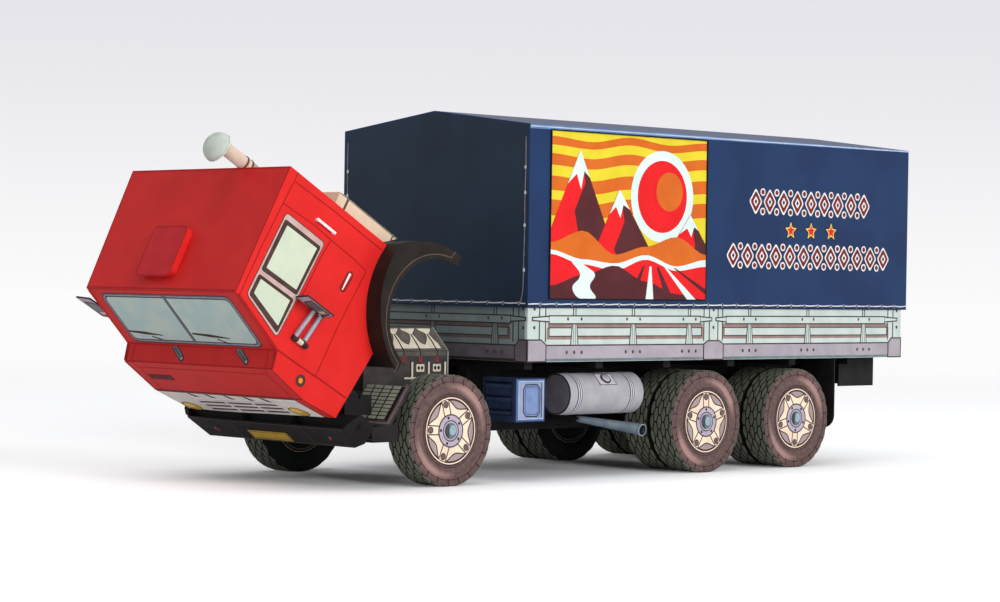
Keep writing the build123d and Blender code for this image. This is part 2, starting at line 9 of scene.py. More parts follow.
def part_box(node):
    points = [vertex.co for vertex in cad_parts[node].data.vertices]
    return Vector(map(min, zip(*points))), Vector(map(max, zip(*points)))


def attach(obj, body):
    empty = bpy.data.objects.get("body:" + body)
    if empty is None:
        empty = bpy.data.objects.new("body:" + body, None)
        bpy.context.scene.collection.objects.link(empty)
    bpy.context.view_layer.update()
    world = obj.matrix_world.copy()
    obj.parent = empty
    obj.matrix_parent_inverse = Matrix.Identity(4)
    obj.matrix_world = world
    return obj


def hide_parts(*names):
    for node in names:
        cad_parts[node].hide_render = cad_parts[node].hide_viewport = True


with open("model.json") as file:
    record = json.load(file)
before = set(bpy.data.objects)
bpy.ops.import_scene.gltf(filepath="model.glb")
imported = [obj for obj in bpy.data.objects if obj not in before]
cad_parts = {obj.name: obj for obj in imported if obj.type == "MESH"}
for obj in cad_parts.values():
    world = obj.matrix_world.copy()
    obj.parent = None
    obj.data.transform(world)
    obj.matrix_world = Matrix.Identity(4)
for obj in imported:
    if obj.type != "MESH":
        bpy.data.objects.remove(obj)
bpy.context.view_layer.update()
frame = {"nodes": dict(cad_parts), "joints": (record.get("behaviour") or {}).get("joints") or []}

# Places are in millimetres, with y behind the front axle and z above the ground, as the model is drawn
MM = 0.001
axle_low, axle_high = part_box("front_axle")
FRONT_AXLE_Y = (axle_low.y + axle_high.y) / 2
cab_tilt = next(joint for joint in frame["joints"] if joint["name"] == "cab_tilt")
HINGE = Vector(cab_tilt["pos_m"])
TIP = -math.radians(cab_tilt["range_deg"][0])
cab_turn = Matrix.Translation(HINGE) @ Matrix.Rotation(TIP, 4, "X") @ Matrix.Translation(-HINGE)

# Cab body in its driving position: distance ahead of the back wall and height of each fold
CAB_BACK = 10.0
ROOF_REAR = (0.0, 78.0)
ROOF_FRONT = (35.7, 75.4)
SCREEN_FOOT = (41.7, 55.9)
LEDGE_EDGE = (46.5, 54.4)
GRILLE_HEAD = (48.0, 41.6)
GRILLE_FOOT = (46.7, 29.6)
CAB_HALF_BACK = 34.0
CAB_HALF_FRONT = 31.9

INK_LIFT = 0.02


def row(x, y, z):
    """A place in millimetres as a point of the frame in metres."""
    return Vector((x * MM, FRONT_AXLE_Y + y * MM, z * MM))


def cab_row(x, forward, height):
    """A place on the cab in its driving position, carried to where the tipped cab holds it."""
    return cab_turn @ row(x, CAB_BACK - forward, height)


# Materials

class Value:
    """A socket of a node tree; expressions on it add Math nodes."""

    def __init__(self, recipe, socket):
        self.recipe = recipe
        self.socket = socket

    def math(self, operation, first, second):
        return self.recipe.node("ShaderNodeMath", {"operation": operation}, {0: first, 1: second})

    def __add__(self, other):
        return self.math("ADD", self, other)

    def __sub__(self, other):
        return self.math("SUBTRACT", self, other)

    def __rsub__(self, other):
        return self.math("SUBTRACT", other, self)

    def __mul__(self, other):
        return self.math("MULTIPLY", self, other)

    def __truediv__(self, other):
        return self.math("DIVIDE", self, other)

    def __mod__(self, other):
        return self.math("MODULO", self, other)

    def floor(self):
        return self.recipe.node("ShaderNodeMath", {"operation": "FLOOR"}, {0: self})

    def smooth(self, low, high):
        """0 below low, 1 above high, smooth between."""
        return self.recipe.node("ShaderNodeMapRange", {"interpolation_type": "SMOOTHSTEP"},
                                {"Value": self, "From Min": low, "From Max": high})

    __radd__ = __add__
    __rmul__ = __mul__


class Recipe:
    """The nodes of one material, world or Geometry Nodes tree."""

    def __init__(self, tree):
        self.tree = tree
        self.tree.nodes.clear()

    def node(self, kind, settings=None, inputs=None, output=0):
        """One node: its settings, then the values or links of its sockets; returns one of its outputs."""
        node = self.tree.nodes.new(kind)
        for key, value in (settings or {}).items():
            setattr(node, key, value)
        for key, value in (inputs or {}).items():
            if isinstance(value, Value):
                self.tree.links.new(value.socket, node.inputs[key])
            else:
                node.inputs[key].default_value = value
        return Value(self, node.outputs[output] if len(node.outputs) else None)

    def blend(self, share, first, second):
        """Colour mix by a share of the second."""
        return self.node("ShaderNodeMix", {"data_type": "RGBA"}, {0: share, 6: first, 7: second}, 2)

    def noise(self, place, size, detail=3.0, roughness=0.55):
        """Noise from 0 to 1 whose blots are about size millimetres across."""
        return self.node("ShaderNodeTexNoise", None, {
            "Vector": place, "Scale": 1 / (size * MM), "Detail": detail, "Roughness": roughness,
        })


    def vector(self, operation, first, second=None):
        """A Vector Math node on a vector, or on a vector and a second one or a scale."""
        inputs = {0: first}
        if second is not None:
            inputs["Scale" if operation == "SCALE" else 1] = second
        return self.node("ShaderNodeVectorMath", {"operation": operation}, inputs,
                         1 if operation == "LENGTH" else 0)

    def matt(self, colour, roughness, specular, height, depth):
        """Ends a material in a matt surface with bumps of some depth in millimetres."""
        bump = self.node("ShaderNodeBump", None, {"Strength": 0.5, "Distance": depth * MM, "Height": height})
        shader = self.node("ShaderNodeBsdfPrincipled", None, {
            "Base Color": colour, "Roughness": roughness, "Normal": bump, "Specular IOR Level": specular,
        })
        self.node("ShaderNodeOutputMaterial", None, {"Surface": shader})


def new_material(name):
    material = bpy.data.materials.new(name)
    material.use_nodes = True
    return material, Recipe(material.node_tree)


def linear(colour):
    """A colour written from 0 to 255 as the screen shows it, as the linear values that a shader takes."""
    parts = [channel / 255 for channel in colour]
    return (*(part / 12.92 if part <= 0.04045 else ((part + 0.055) / 1.055) ** 2.4 for part in parts), 1.0)


# Each ink on card: its colour, the colour of its blots, their size in millimetres, and its roughness
INKS = {
    "red": ((222, 38, 35), (214, 34, 32), 9.0, 0.50),
    "red_dark": ((168, 22, 22), (150, 18, 20), 4.0, 0.55),
    # A darker copy of the red for the roof, windscreen and front panels: painted shade
    "red_shaded": ((208, 38, 35), (200, 33, 32), 9.0, 0.50),
    "hatch_red": ((196, 34, 44), (184, 30, 38), 6.0, 0.50),
    "black": ((26, 24, 26), (36, 33, 34), 5.0, 0.60),
    "soot": ((16, 15, 16), (24, 22, 22), 4.0, 0.65),
    "outline": ((52, 38, 38), (66, 50, 48), 2.0, 0.60),
    "rubber": ((88, 66, 58), (66, 48, 42), 3.0, 0.60),
    "side_glass": ((209, 216, 192), (200, 211, 190), 5.0, 0.42),
    "screen_glass": ((171, 197, 196), (190, 204, 196), 6.0, 0.42),
    "frame_pink": ((206, 176, 170), (190, 160, 156), 3.0, 0.55),
    "handle_pale": ((250, 230, 230), (236, 214, 216), 3.0, 0.50),
    "tube_grey": ((112, 118, 128), (94, 98, 110), 2.5, 0.50),
    "arm_mauve": ((184, 172, 186), (166, 152, 168), 3.0, 0.50),
    "white": ((236, 232, 226), (222, 216, 212), 6.0, 0.50),
    "cream": ((248, 228, 204), (238, 214, 190), 5.0, 0.55),
    "lavender": ((192, 181, 196), (176, 164, 180), 3.0, 0.55),
    "bolt": ((122, 98, 100), (104, 82, 84), 1.5, 0.55),
    "cap_dark": ((56, 60, 64), (72, 80, 84), 1.5, 0.45),
    "cap_mid": ((104, 124, 132), (92, 108, 116), 1.5, 0.45),
    "cap_light": ((160, 184, 192), (142, 168, 178), 1.5, 0.45),
    "tread": ((20, 22, 22), (28, 30, 30), 3.0, 0.70),
    "tread_cell": ((100, 104, 92), (118, 120, 106), 1.6, 0.70),
    "tick": ((58, 44, 46), (46, 34, 36), 1.6, 0.65),
    "navy": ((30, 55, 95), (25, 47, 84), 22.0, 0.42),
    # A darker copy of the navy for the tilt's end faces: painted shade
    "navy_shaded_ends": ((35, 53, 73), (29, 45, 62), 22.0, 0.45),
    # Pale blue of the strip under the tilt's eave: painted highlight on its rounded fold
    "navy_eave_highlight": ((112, 142, 184), (86, 116, 162), 8.0, 0.42),
    "rope": ((224, 228, 232), (196, 200, 208), 2.0, 0.60),
    "mint": ((204, 216, 210), (190, 204, 199), 8.0, 0.55),
    # Darker copies of the board inks for the headboard: painted shade of the cab
    "mint_shade": ((132, 146, 146), (120, 134, 136), 6.0, 0.60),
    "sill_shade": ((112, 106, 114), (98, 92, 100), 6.0, 0.60),
    "warm_shade": ((112, 98, 96), (98, 86, 86), 4.0, 0.60),
    "line_shade": ((52, 44, 46), (66, 56, 56), 3.0, 0.60),
    "navy_edge": ((20, 36, 74), (17, 31, 64), 12.0, 0.45),
    "rope_shade": ((150, 150, 158), (124, 124, 134), 2.0, 0.60),
    "eave_pale": ((196, 208, 228), (170, 186, 212), 6.0, 0.45),
    "locker_mid": ((56, 72, 104), (46, 60, 90), 4.0, 0.50),
    "locker_edge": ((86, 114, 166), (74, 100, 150), 3.0, 0.45),
    "locker_door": ((162, 170, 198), (146, 156, 186), 3.0, 0.45),
    "locker_pale": ((128, 148, 192), (114, 134, 178), 3.0, 0.45),
    "tank_end": ((100, 96, 106), (114, 108, 118), 4.0, 0.50),
    "pipe_light": ((146, 160, 170), (126, 140, 152), 3.0, 0.42),
    "window_mauve": ((178, 158, 158), (162, 144, 146), 3.0, 0.55),
    "plug_red": ((146, 58, 54), (126, 48, 46), 2.0, 0.50),
    "step_side": ((34, 30, 30), (44, 40, 40), 4.0, 0.60),
    "sage": ((196, 204, 194), (180, 190, 180), 2.5, 0.50),
    "sage_dark": ((150, 158, 148), (134, 142, 134), 2.0, 0.50),
    "sage_light": ((222, 230, 220), (208, 218, 208), 2.5, 0.50),
    "board_line": ((58, 44, 42), (76, 60, 58), 3.0, 0.55),
    "board_warm": ((158, 132, 126), (142, 118, 112), 4.0, 0.55),
    "sill": ((176, 168, 176), (162, 154, 164), 6.0, 0.55),
    "sill_edge": ((118, 134, 138), (100, 116, 120), 4.0, 0.55),
    "tank": ((176, 176, 180), (161, 161, 168), 6.0, 0.45),
    "tank_line": ((66, 54, 58), (54, 44, 48), 2.5, 0.50),
    "tank_light": ((206, 202, 214), (196, 190, 206), 3.0, 0.45),
    "locker": ((44, 58, 86), (36, 48, 74), 4.0, 0.50),
    "locker_dark": ((22, 30, 52), (16, 22, 40), 3.0, 0.55),
    "pipe": ((108, 120, 130), (90, 102, 114), 4.0, 0.42),
    "beige": ((228, 206, 178), (216, 194, 168), 6.0, 0.55),
    "beige_line": ((84, 70, 66), (100, 84, 78), 3.0, 0.55),
    "bone": ((238, 214, 194), (224, 196, 178), 5.0, 0.50),
    "engine": ((58, 54, 54), (74, 68, 66), 4.0, 0.60),
    "engine_grey": ((102, 96, 90), (86, 80, 76), 3.0, 0.60),
    "engine_cream": ((222, 212, 194), (202, 190, 172), 3.0, 0.55),
    "tile": ((188, 188, 168), (170, 170, 152), 2.5, 0.55),
    "step_frame": ((142, 130, 134), (120, 108, 112), 3.0, 0.55),
    "step_red": ((112, 62, 58), (96, 52, 50), 3.0, 0.55),
    "guard": ((27, 23, 20), (38, 32, 28), 5.0, 0.55),
    "guard_line": ((104, 88, 80), (84, 70, 64), 3.0, 0.55),
    "plate": ((206, 168, 62), (186, 148, 50), 4.0, 0.50),
    "lamp_yellow": ((226, 182, 62), (204, 156, 44), 3.0, 0.45),
    "lamp_pale": ((244, 214, 122), (232, 198, 100), 2.0, 0.45),
    "amber": ((238, 148, 42), (222, 124, 34), 1.5, 0.45),
    "lens_red": ((176, 38, 38), (150, 30, 32), 2.0, 0.45),
    "art_yellow": ((230, 212, 52), (222, 200, 46), 9.0, 0.42),
    "art_orange": ((216, 108, 34), (206, 98, 30), 9.0, 0.42),
    "art_red": ((232, 30, 36), (220, 26, 32), 9.0, 0.42),
    "art_white": ((226, 240, 236), (214, 230, 226), 9.0, 0.42),
    "art_brown": ((88, 38, 42), (76, 32, 36), 9.0, 0.45),
    "maroon": ((124, 36, 44), (110, 30, 38), 5.0, 0.42),
    "mirror_glass": ((98, 92, 102), (122, 116, 126), 3.0, 0.35),
}
made_inks = {}
# Sizes of the card's grain, of its waves and of its bumps in millimetres, and its gleam
CARD_GRAIN = 0.32
CARD_WAVE = 14.0
CARD_DEPTH = 0.06
CARD_GLEAM = 0.15


def ink(name):
    """Matt printed card in one ink, with blots of a second tone, fine grain and a slightly uneven face."""
    if name in made_inks:
        return made_inks[name]
    colour, blot, size, roughness = INKS[name]
    material, recipe = new_material(f"card_{name}")
    place = recipe.node("ShaderNodeTexCoord", output=3)
    cloud = recipe.noise(place, size, 2.0)
    grain = recipe.noise(place, CARD_GRAIN, 2.0, 0.7)
    share = (cloud.smooth(0.32, 0.68) * 0.7 + grain * 0.6).smooth(0.1, 1.2)
    colour_out = recipe.blend(share, linear(colour), linear(blot))
    height = grain * 0.35 + recipe.noise(place, CARD_WAVE, 1.0)
    recipe.matt(colour_out, grain * 0.12 + (roughness - 0.06), CARD_GLEAM, height, CARD_DEPTH)
    made_inks[name] = material
    return material


# Flat printed faces and the inks on them

class Face:
    """A flat printed face. A point a along it and b up it, in millimetres, may lie proud of it."""

    def __init__(self, origin, along, up, outside):
        self.origin = origin
        self.along = along
        self.up = up
        normal = along.cross(up).normalized()
        self.turned = normal.dot(outside) < 0
        self.outward = -normal if self.turned else normal

    def point(self, a, b, lift=0.0):
        return self.origin + self.along * a + self.up * b + self.outward * (lift * MM)

    def mirrored(self):
        """The same face on the other side of the truck."""
        flip = Matrix.Diagonal((-1, 1, 1))
        return Face(flip @ self.origin, flip @ self.along, flip @ self.up, flip @ self.outward)

    def both(self):
        """The face and its twin on the other side of the truck."""
        return self, self.mirrored()

    def raised(self, lift):
        """The same face some millimetres further out."""
        return Face(self.point(0, 0, lift), self.along, self.up, self.outward)


def face_through(place, origin, along, up, outside):
    """Face whose origin, a step along and a step up are given as places for a place function."""
    start = place(*origin)
    outer = place(*(o + n for o, n in zip(origin, outside))) - start
    return Face(start, place(*along) - start, place(*up) - start, outer)


def slope(start, end):
    """Unit step from one place of a plane to another, and the distance between them."""
    length = math.dist(start, end)
    return tuple((e - s) / length for s, e in zip(start, end)), length


def sloped_face(foot, head, outside):
    """Face across the truck from its foot to its head, both as millimetres behind the axle and height."""
    (back, rise), _ = slope(foot, head)
    return face_through(row, (0, *foot), (1, *foot), (0, foot[0] + back, foot[1] + rise), outside)


def side_face(x):
    """Upright face of the truck's left side: millimetres behind the front axle, and above the ground."""
    return face_through(row, (x, 0, 0), (x, 1, 0), (x, 0, 1), (1, 0, 0))


def cross_face(y, way):
    """Upright face across the truck: millimetres from its middle, and above the ground."""
    return face_through(row, (0, y, 0), (1, y, 0), (0, y, 1), (0, way, 0))


class Print:
    """Ink shapes on flat faces, gathered into one thin piece that rides on one body."""

    def __init__(self, name, body, slot):
        self.name = name
        self.body = body
        self.slot = slot
        self.mesh = bmesh.new()
        self.inks = []

    def index(self, ink_name):
        if ink_name not in self.inks:
            self.inks.append(ink_name)
        return self.inks.index(ink_name)

    def prism(self, face, outline, ink_name, low, high):
        """A closed outline of face points, raised from low to high millimetres."""
        if (area(outline) < 0) != face.turned:
            outline = outline[::-1]
        top = [self.mesh.verts.new(face.point(a, b, high)) for a, b in outline]
        foot = [self.mesh.verts.new(face.point(a, b, low)) for a, b in outline]
        made = [self.mesh.faces.new(top), self.mesh.faces.new(foot[::-1])]
        for i in range(len(outline)):
            j = (i + 1) % len(outline)
            made.append(self.mesh.faces.new((foot[i], foot[j], top[j], top[i])))
        for new_face in made:
            new_face.material_index = self.index(ink_name)

    def fill(self, face, outline, ink_name, layer=1):
        self.prism(face, outline, ink_name, -INK_LIFT, layer * INK_LIFT)

    def ring(self, face, outer, inner, ink_name, layer=2):
        """The band between two closed outlines of as many points."""
        low, high = -INK_LIFT, layer * INK_LIFT
        if (area(outer) < 0) != face.turned:
            outer, inner = outer[::-1], inner[::-1]
        loops = [[self.mesh.verts.new(face.point(a, b, lift)) for a, b in outline]
                 for outline, lift in ((outer, high), (inner, high), (outer, low), (inner, low))]
        top_out, top_in, foot_out, foot_in = loops
        count = len(outer)
        for i in range(count):
            j = (i + 1) % count
            for corners in ((top_out[i], top_out[j], top_in[j], top_in[i]),
                            (foot_out[j], foot_out[i], foot_in[i], foot_in[j]),
                            (foot_out[i], foot_out[j], top_out[j], top_out[i]),
                            (foot_in[j], foot_in[i], top_in[i], top_in[j])):
                self.mesh.faces.new(corners).material_index = self.index(ink_name)

    def line(self, face, points, width, ink_name, layer=2, closed=False):
        """A drawn line, mitred at its corners."""
        left, right = sides_of_line(points, width, closed)
        if closed:
            outer, inner = (left, right) if abs(area(left)) > abs(area(right)) else (right, left)
            self.ring(face, outer, inner, ink_name, layer)
        else:
            self.fill(face, left + right[::-1], ink_name, layer)

    def lines(self, face, width, ink_name, *runs):
        for run in runs:
            self.line(face, run, width, ink_name)

    def pair(self, face, start, end, width, ink_name, layer=2):
        """A straight line and its twin on the other side of the face's middle."""
        for side in (-1, 1):
            self.line(face, [(side * start[0], start[1]), (side * end[0], end[1])], width, ink_name, layer)

    def edged(self, face, outline, ink_name, layer, width, line_ink, line_layer):
        """A filled outline with a line round it."""
        self.fill(face, outline, ink_name, layer)
        self.line(face, outline, width, line_ink, line_layer, True)

    def round_solid(self, place, start, axis, profile, steps=48):
        """Closed round solid about an axis: distance along it, radius, and the ink as far as the next row."""
        origin = place(*start)
        forward = (place(*(s + a for s, a in zip(start, axis))) - origin).normalized()
        across = forward.cross(Vector((0.31, 0.17, 0.93))).normalized()
        upward = across.cross(forward)
        loops = []
        for along, radius, _ in profile:
            middle = origin + forward * (along * MM)
            turns = [math.tau * i / steps for i in range(steps if radius else 1)]
            spokes = [across * math.cos(t) + upward * math.sin(t) for t in turns]
            loops.append([self.mesh.verts.new(middle + spoke * (radius * MM)) for spoke in spokes])
        for row_index, (low, high) in enumerate(zip(loops, loops[1:])):
            steep = abs(profile[row_index + 1][0] - profile[row_index][0]) > 0.02
            for i in range(steps):
                corners = []
                for corner in (low[i % len(low)], low[(i + 1) % len(low)], high[(i + 1) % len(high)],
                               high[i % len(high)]):
                    if corner not in corners:
                        corners.append(corner)
                made = self.mesh.faces.new(corners)
                made.material_index = self.index(profile[row_index][2])
                made.smooth = steep

    def finish(self, *replaces):
        bmesh.ops.recalc_face_normals(self.mesh, faces=self.mesh.faces[:])
        materials = [ink(name) for name in self.inks]
        finish_piece(self.name, self.mesh, materials, self.body, self.slot, replaces)


def finish_piece(name, mesh, materials, body, slot, replaces=()):
    """Makes an object of a bmesh, with its materials, on its body; slot is not used."""
    data = bpy.data.meshes.new(name)
    mesh.to_mesh(data)
    mesh.free()
    for material in materials:
        data.materials.append(material)
    piece = bpy.data.objects.new(name, data)
    bpy.context.scene.collection.objects.link(piece)
    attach(piece, body)
    if replaces:
        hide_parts(*replaces)


def area(outline):
    """Signed area of a closed outline."""
    total = 0.0
    for (ax, ay), (bx, by) in zip(outline, outline[1:] + outline[:1]):
        total += ax * by - bx * ay
    return total / 2


def sides_of_line(points, width, closed):
    """The two sides of a line of some width, mitred at its corners."""
    left, right = [], []
    count = len(points)
    for i, point in enumerate(points):
        here = Vector(point)
        before = Vector(points[i - 1]) if i > 0 or closed else None
        after = Vector(points[(i + 1) % count]) if i < count - 1 or closed else None
        into = (here - before).normalized() if before else (after - here).normalized()
        out = (after - here).normalized() if after else into
        normal = Vector((-into.y - out.y, into.x + out.x)).normalized()
        reach = width / 2 / max(0.35, normal.dot(Vector((-into.y, into.x))))
        left.append(tuple(here + normal * reach))
        right.append(tuple(here - normal * reach))
    return left, right


def rect(a0, b0, a1, b1):
    return [(a0, b0), (a1, b0), (a1, b1), (a0, b1)]


def oval(a, b, half_a, half_b, steps=28):
    """Ellipse about (a, b)."""
    turns = [math.tau * i / steps for i in range(steps)]
    return [(a + half_a * math.cos(t), b + half_b * math.sin(t)) for t in turns]


def circle(radius, steps):
    """Circle about a face's origin."""
    return oval(0, 0, radius, radius, steps)


def arc(a, b, radius, start, end, steps=12):
    """Points of a circle from one angle to another, in degrees."""
    angles = [math.radians(start + (end - start) * i / steps) for i in range(steps + 1)]
    return [(a + radius * math.cos(t), b + radius * math.sin(t)) for t in angles]


def rounded(points, radius, steps=5):
    """A closed outline with its corners rounded."""
    made = []
    count = len(points)
    for i in range(count):
        here = Vector(points[i])
        into = Vector(points[i - 1]) - here
        out = Vector(points[(i + 1) % count]) - here
        reach = min(radius, into.length / 2.1, out.length / 2.1)
        start = here + into.normalized() * reach
        end = here + out.normalized() * reach
        for step in range(steps + 1):
            t = step / steps
            made.append(tuple(start.lerp(here, t).lerp(here.lerp(end, t), t)))
    return made


def inset(points, amount):
    """A closed outline with every side moved inwards."""
    left, right = sides_of_line(points, 2 * amount, True)
    return left if abs(area(left)) < abs(area(right)) else right


def capsule(start, end, width, steps=8):
    """Outline of a bar with round ends."""
    turn = math.degrees(math.atan2(end[1] - start[1], end[0] - start[0]))
    return (arc(*end, width / 2, turn - 90, turn + 90, steps)
            + arc(*start, width / 2, turn + 90, turn + 270, steps))


def star(a, b, reach, waist):
    """Star about (a, b) with five tips at reach; waist is the share of it between the tips."""
    made = []
    for i in range(10):
        t = math.radians(90 + 36 * i)
        r = reach * waist if i % 2 else reach
        made.append((a + r * math.cos(t), b + r * math.sin(t)))
    return made


# Geometry Nodes that repeat a shape

def repeat_tree(name, inputs):
    """A tree with a geometry input, named inputs for sizes, and what they are by name."""
    tree = bpy.data.node_groups.new(name, "GeometryNodeTree")
    recipe = Recipe(tree)
    tree.interface.new_socket("Shape", in_out="INPUT", socket_type="NodeSocketGeometry")
    for label, kind in inputs:
        tree.interface.new_socket(label, in_out="INPUT", socket_type=kind)
    tree.interface.new_socket("Pieces", in_out="OUTPUT", socket_type="NodeSocketGeometry")
    entry = tree.nodes.new("NodeGroupInput")
    return tree, recipe, {socket.name: Value(recipe, socket) for socket in entry.outputs if socket.name}


def close_tree(recipe, made, material):
    """Ends a tree in real geometry with its material."""
    whole = recipe.node("GeometryNodeRealizeInstances", None, {0: made})
    inked = recipe.node("GeometryNodeSetMaterial", None, {"Geometry": whole, "Material": material})
    recipe.node("NodeGroupOutput", None, {0: inked})


def cells(recipe, given):
    """The row and the column of each copy."""
    index = recipe.node("GeometryNodeInputIndex")
    line = (index / given["Columns"] + 0.0001).floor()
    return line, index - line * given["Columns"]


def make_rows_tree():
    """Repeats a shape in columns and rows by two moves."""
    tree, recipe, given = repeat_tree("rows_of_shapes", [
        ("Columns", "NodeSocketInt"), ("Rows", "NodeSocketInt"), ("Column move", "NodeSocketVector"),
        ("Row move", "NodeSocketVector"), ("Ink", "NodeSocketMaterial"),
    ])
    line, column = cells(recipe, given)
    place = recipe.vector("ADD", recipe.vector("SCALE", given["Column move"], column),
                          recipe.vector("SCALE", given["Row move"], line))
    points = recipe.node("GeometryNodePoints", None,
                         {"Count": given["Columns"] * given["Rows"], "Position": place})
    close_tree(recipe, recipe.node("GeometryNodeInstanceOnPoints", None,
                                   {"Points": points, "Instance": given["Shape"]}), given["Ink"])
    return tree


def make_wheel_tree():
    """Repeats a shape round an axis along X, in columns across the tread that are staggered by turns."""
    tree, recipe, given = repeat_tree("cells_round_a_wheel", [
        ("Columns", "NodeSocketInt"), ("Count", "NodeSocketInt"), ("Column step", "NodeSocketFloat"),
        ("Centre", "NodeSocketVector"), ("Ink", "NodeSocketMaterial"),
    ])
    line, column = cells(recipe, given)
    turn = (line + (column % 2.0) * 0.5) * math.tau / given["Count"]
    sideways = recipe.node("ShaderNodeCombineXYZ", None, {"X": column * given["Column step"]})
    place = recipe.vector("ADD", given["Centre"], sideways)
    points = recipe.node("GeometryNodePoints", None,
                         {"Count": given["Columns"] * given["Count"], "Position": place})
    away = recipe.vector("SCALE", given["Centre"], -1.0)
    centred = recipe.node("GeometryNodeTransform", None, {"Geometry": given["Shape"], "Translation": away})
    spin = recipe.node("FunctionNodeEulerToRotation", None,
                       {0: recipe.node("ShaderNodeCombineXYZ", None, {"X": turn})})
    close_tree(recipe, recipe.node("GeometryNodeInstanceOnPoints", None, {
        "Points": points, "Instance": centred, "Rotation": spin}), given["Ink"])
    return tree


ROWS_TREE = make_rows_tree()
WHEEL_TREE = make_wheel_tree()


def repeated(shape, tree, values):
    """Runs a repeating tree on a Print's shapes and gives the result back as a bmesh."""
    data = bpy.data.meshes.new("shape")
    shape.mesh.to_mesh(data)
    shape.mesh.free()
    worker = bpy.data.objects.new("worker", data)
    bpy.context.scene.collection.objects.link(worker)
    modifier = worker.modifiers.new("repeat", "NODES")
    modifier.node_group = tree
    named = {item.name: item.identifier for item in tree.interface.items_tree if item.in_out == "INPUT"}
    for label, value in values.items():
        modifier[named[label]] = value
    bpy.context.view_layer.update()
    graph = bpy.context.evaluated_depsgraph_get()
    result = bpy.data.meshes.new_from_object(worker.evaluated_get(graph))
    mesh = bmesh.new()
    mesh.from_mesh(result)
    bpy.data.objects.remove(worker)
    bpy.data.meshes.remove(data)
    bpy.data.meshes.remove(result)
    return mesh


def repeat_in_rows(target, face, outline, ink_name, layer, counts, steps):
    """Adds a shape to a Print in columns and rows; counts and steps are along and up the face."""
    shape = Print("shape", target.body, target.slot)
    shape.fill(face, outline, ink_name, layer)
    grid = repeated(shape, ROWS_TREE, {
        "Columns": counts[0], "Rows": counts[1], "Ink": ink(ink_name),
        "Column move": face.along * steps[0], "Row move": face.up * steps[1],
    })
    add_mesh(target, grid, ink_name)


def add_mesh(target, mesh, ink_name):
    """Adds a bmesh in one ink to a Print."""
    data = bpy.data.meshes.new("added")
    for mesh_face in mesh.faces:
        mesh_face.material_index = target.index(ink_name)
    mesh.to_mesh(data)
    mesh.free()
    target.mesh.from_mesh(data)
    bpy.data.meshes.remove(data)


# Camera, floor, sky and lamps

CAMERA_PLACE = (561.917, -487.14, 56.389)
CAMERA_YAW = 46.192
CAMERA_PITCH = 0.497
CAMERA_ROLL = 0.932
CAMERA_LENS = 95.95


def make_camera():
    yaw, pitch, roll = (math.radians(angle) for angle in (CAMERA_YAW, CAMERA_PITCH, CAMERA_ROLL))
    back = Vector((math.sin(yaw) * math.cos(pitch), -math.cos(yaw) * math.cos(pitch), math.sin(pitch)))
    right = (-back).cross(Vector((0, 0, 1))).normalized()
    up = right.cross(-back)
    rolled_right = math.cos(roll) * right + math.sin(roll) * up
    rolled_up = math.cos(roll) * up - math.sin(roll) * right
    lens = bpy.data.cameras.new("camera")
    lens.sensor_width = 36.0
    lens.lens = CAMERA_LENS
    lens.clip_start = 0.01
    lens.clip_end = 50.0
    camera = bpy.data.objects.new("camera", lens)
    turn = Matrix((rolled_right, rolled_up, back)).transposed().to_4x4()
    camera.matrix_world = Matrix.Translation(row(*CAMERA_PLACE)) @ turn
    bpy.context.scene.collection.objects.link(camera)
    bpy.context.scene.camera = camera


FLOOR_HALF = 6.0
PAPER_WHITE = (252, 252, 252)
SKY_TOP = (229, 228, 234)
# Upward share of the way looked in, between where the sky is paper white and where it has its top colour
SKY_BAND = (-0.03, 0.1144)
# Share of paper white that the floor gives off towards the camera beside the truck
FLOOR_LIFT = 0.36
# Half width and half length of the floor under the truck, where that glow stops and so paints a dark
# shadow there, and how far it takes to return, in metres
PAINTED_SHADOW_HALF = (0.012, 0.075, 0.0)
PAINTED_SHADOW_FADE = 0.055
# Distances from the truck, in metres, between which the floor turns into plain paper white
PLAIN_FROM = (0.35, 1.1)


def make_floor():
    """A white table that keeps the truck's shadow, with a painted shadow under the truck where its glow
    stops.
    """
    mesh = bmesh.new()
    bmesh.ops.create_grid(mesh, x_segments=1, y_segments=1, size=FLOOR_HALF)
    data = bpy.data.meshes.new("floor")
    mesh.to_mesh(data)
    mesh.free()
    material, recipe = new_material("floor_white")
    rays = recipe.tree.nodes.new("ShaderNodeLightPath")
    seen = Value(recipe, rays.outputs["Is Camera Ray"])
    shader = recipe.node("ShaderNodeBsdfPrincipled", None, {
        "Base Color": linear((247, 248, 250)), "Roughness": 0.9, "Specular IOR Level": 0.1,
    })
    place = recipe.node("ShaderNodeTexCoord", output=3)
    past = recipe.vector("SUBTRACT", recipe.vector("ABSOLUTE", place), PAINTED_SHADOW_HALF)
    away = recipe.vector("LENGTH", recipe.vector("MAXIMUM", past, (0.0, 0.0, 0.0)))
    # Painted shadow: the floor's glow fades out under the truck
    lift = away.smooth(0.0, PAINTED_SHADOW_FADE) * FLOOR_LIFT
    glow = recipe.node("ShaderNodeEmission", None, {"Color": linear(PAPER_WHITE), "Strength": seen * lift})
    lit = recipe.node("ShaderNodeAddShader", None, {0: shader, 1: glow})
    reach = recipe.vector("LENGTH", place)
    plain = recipe.node("ShaderNodeEmission", None, {"Color": linear(PAPER_WHITE), "Strength": 1.0})
    both = recipe.node("ShaderNodeMixShader", None, {0: reach.smooth(*PLAIN_FROM), 1: lit, 2: plain})
    recipe.node("ShaderNodeOutputMaterial", None, {"Surface": both})
    data.materials.append(material)
    floor = bpy.data.objects.new("floor", data)
    bpy.context.scene.collection.objects.link(floor)


WORLD_LIGHT = 0.42


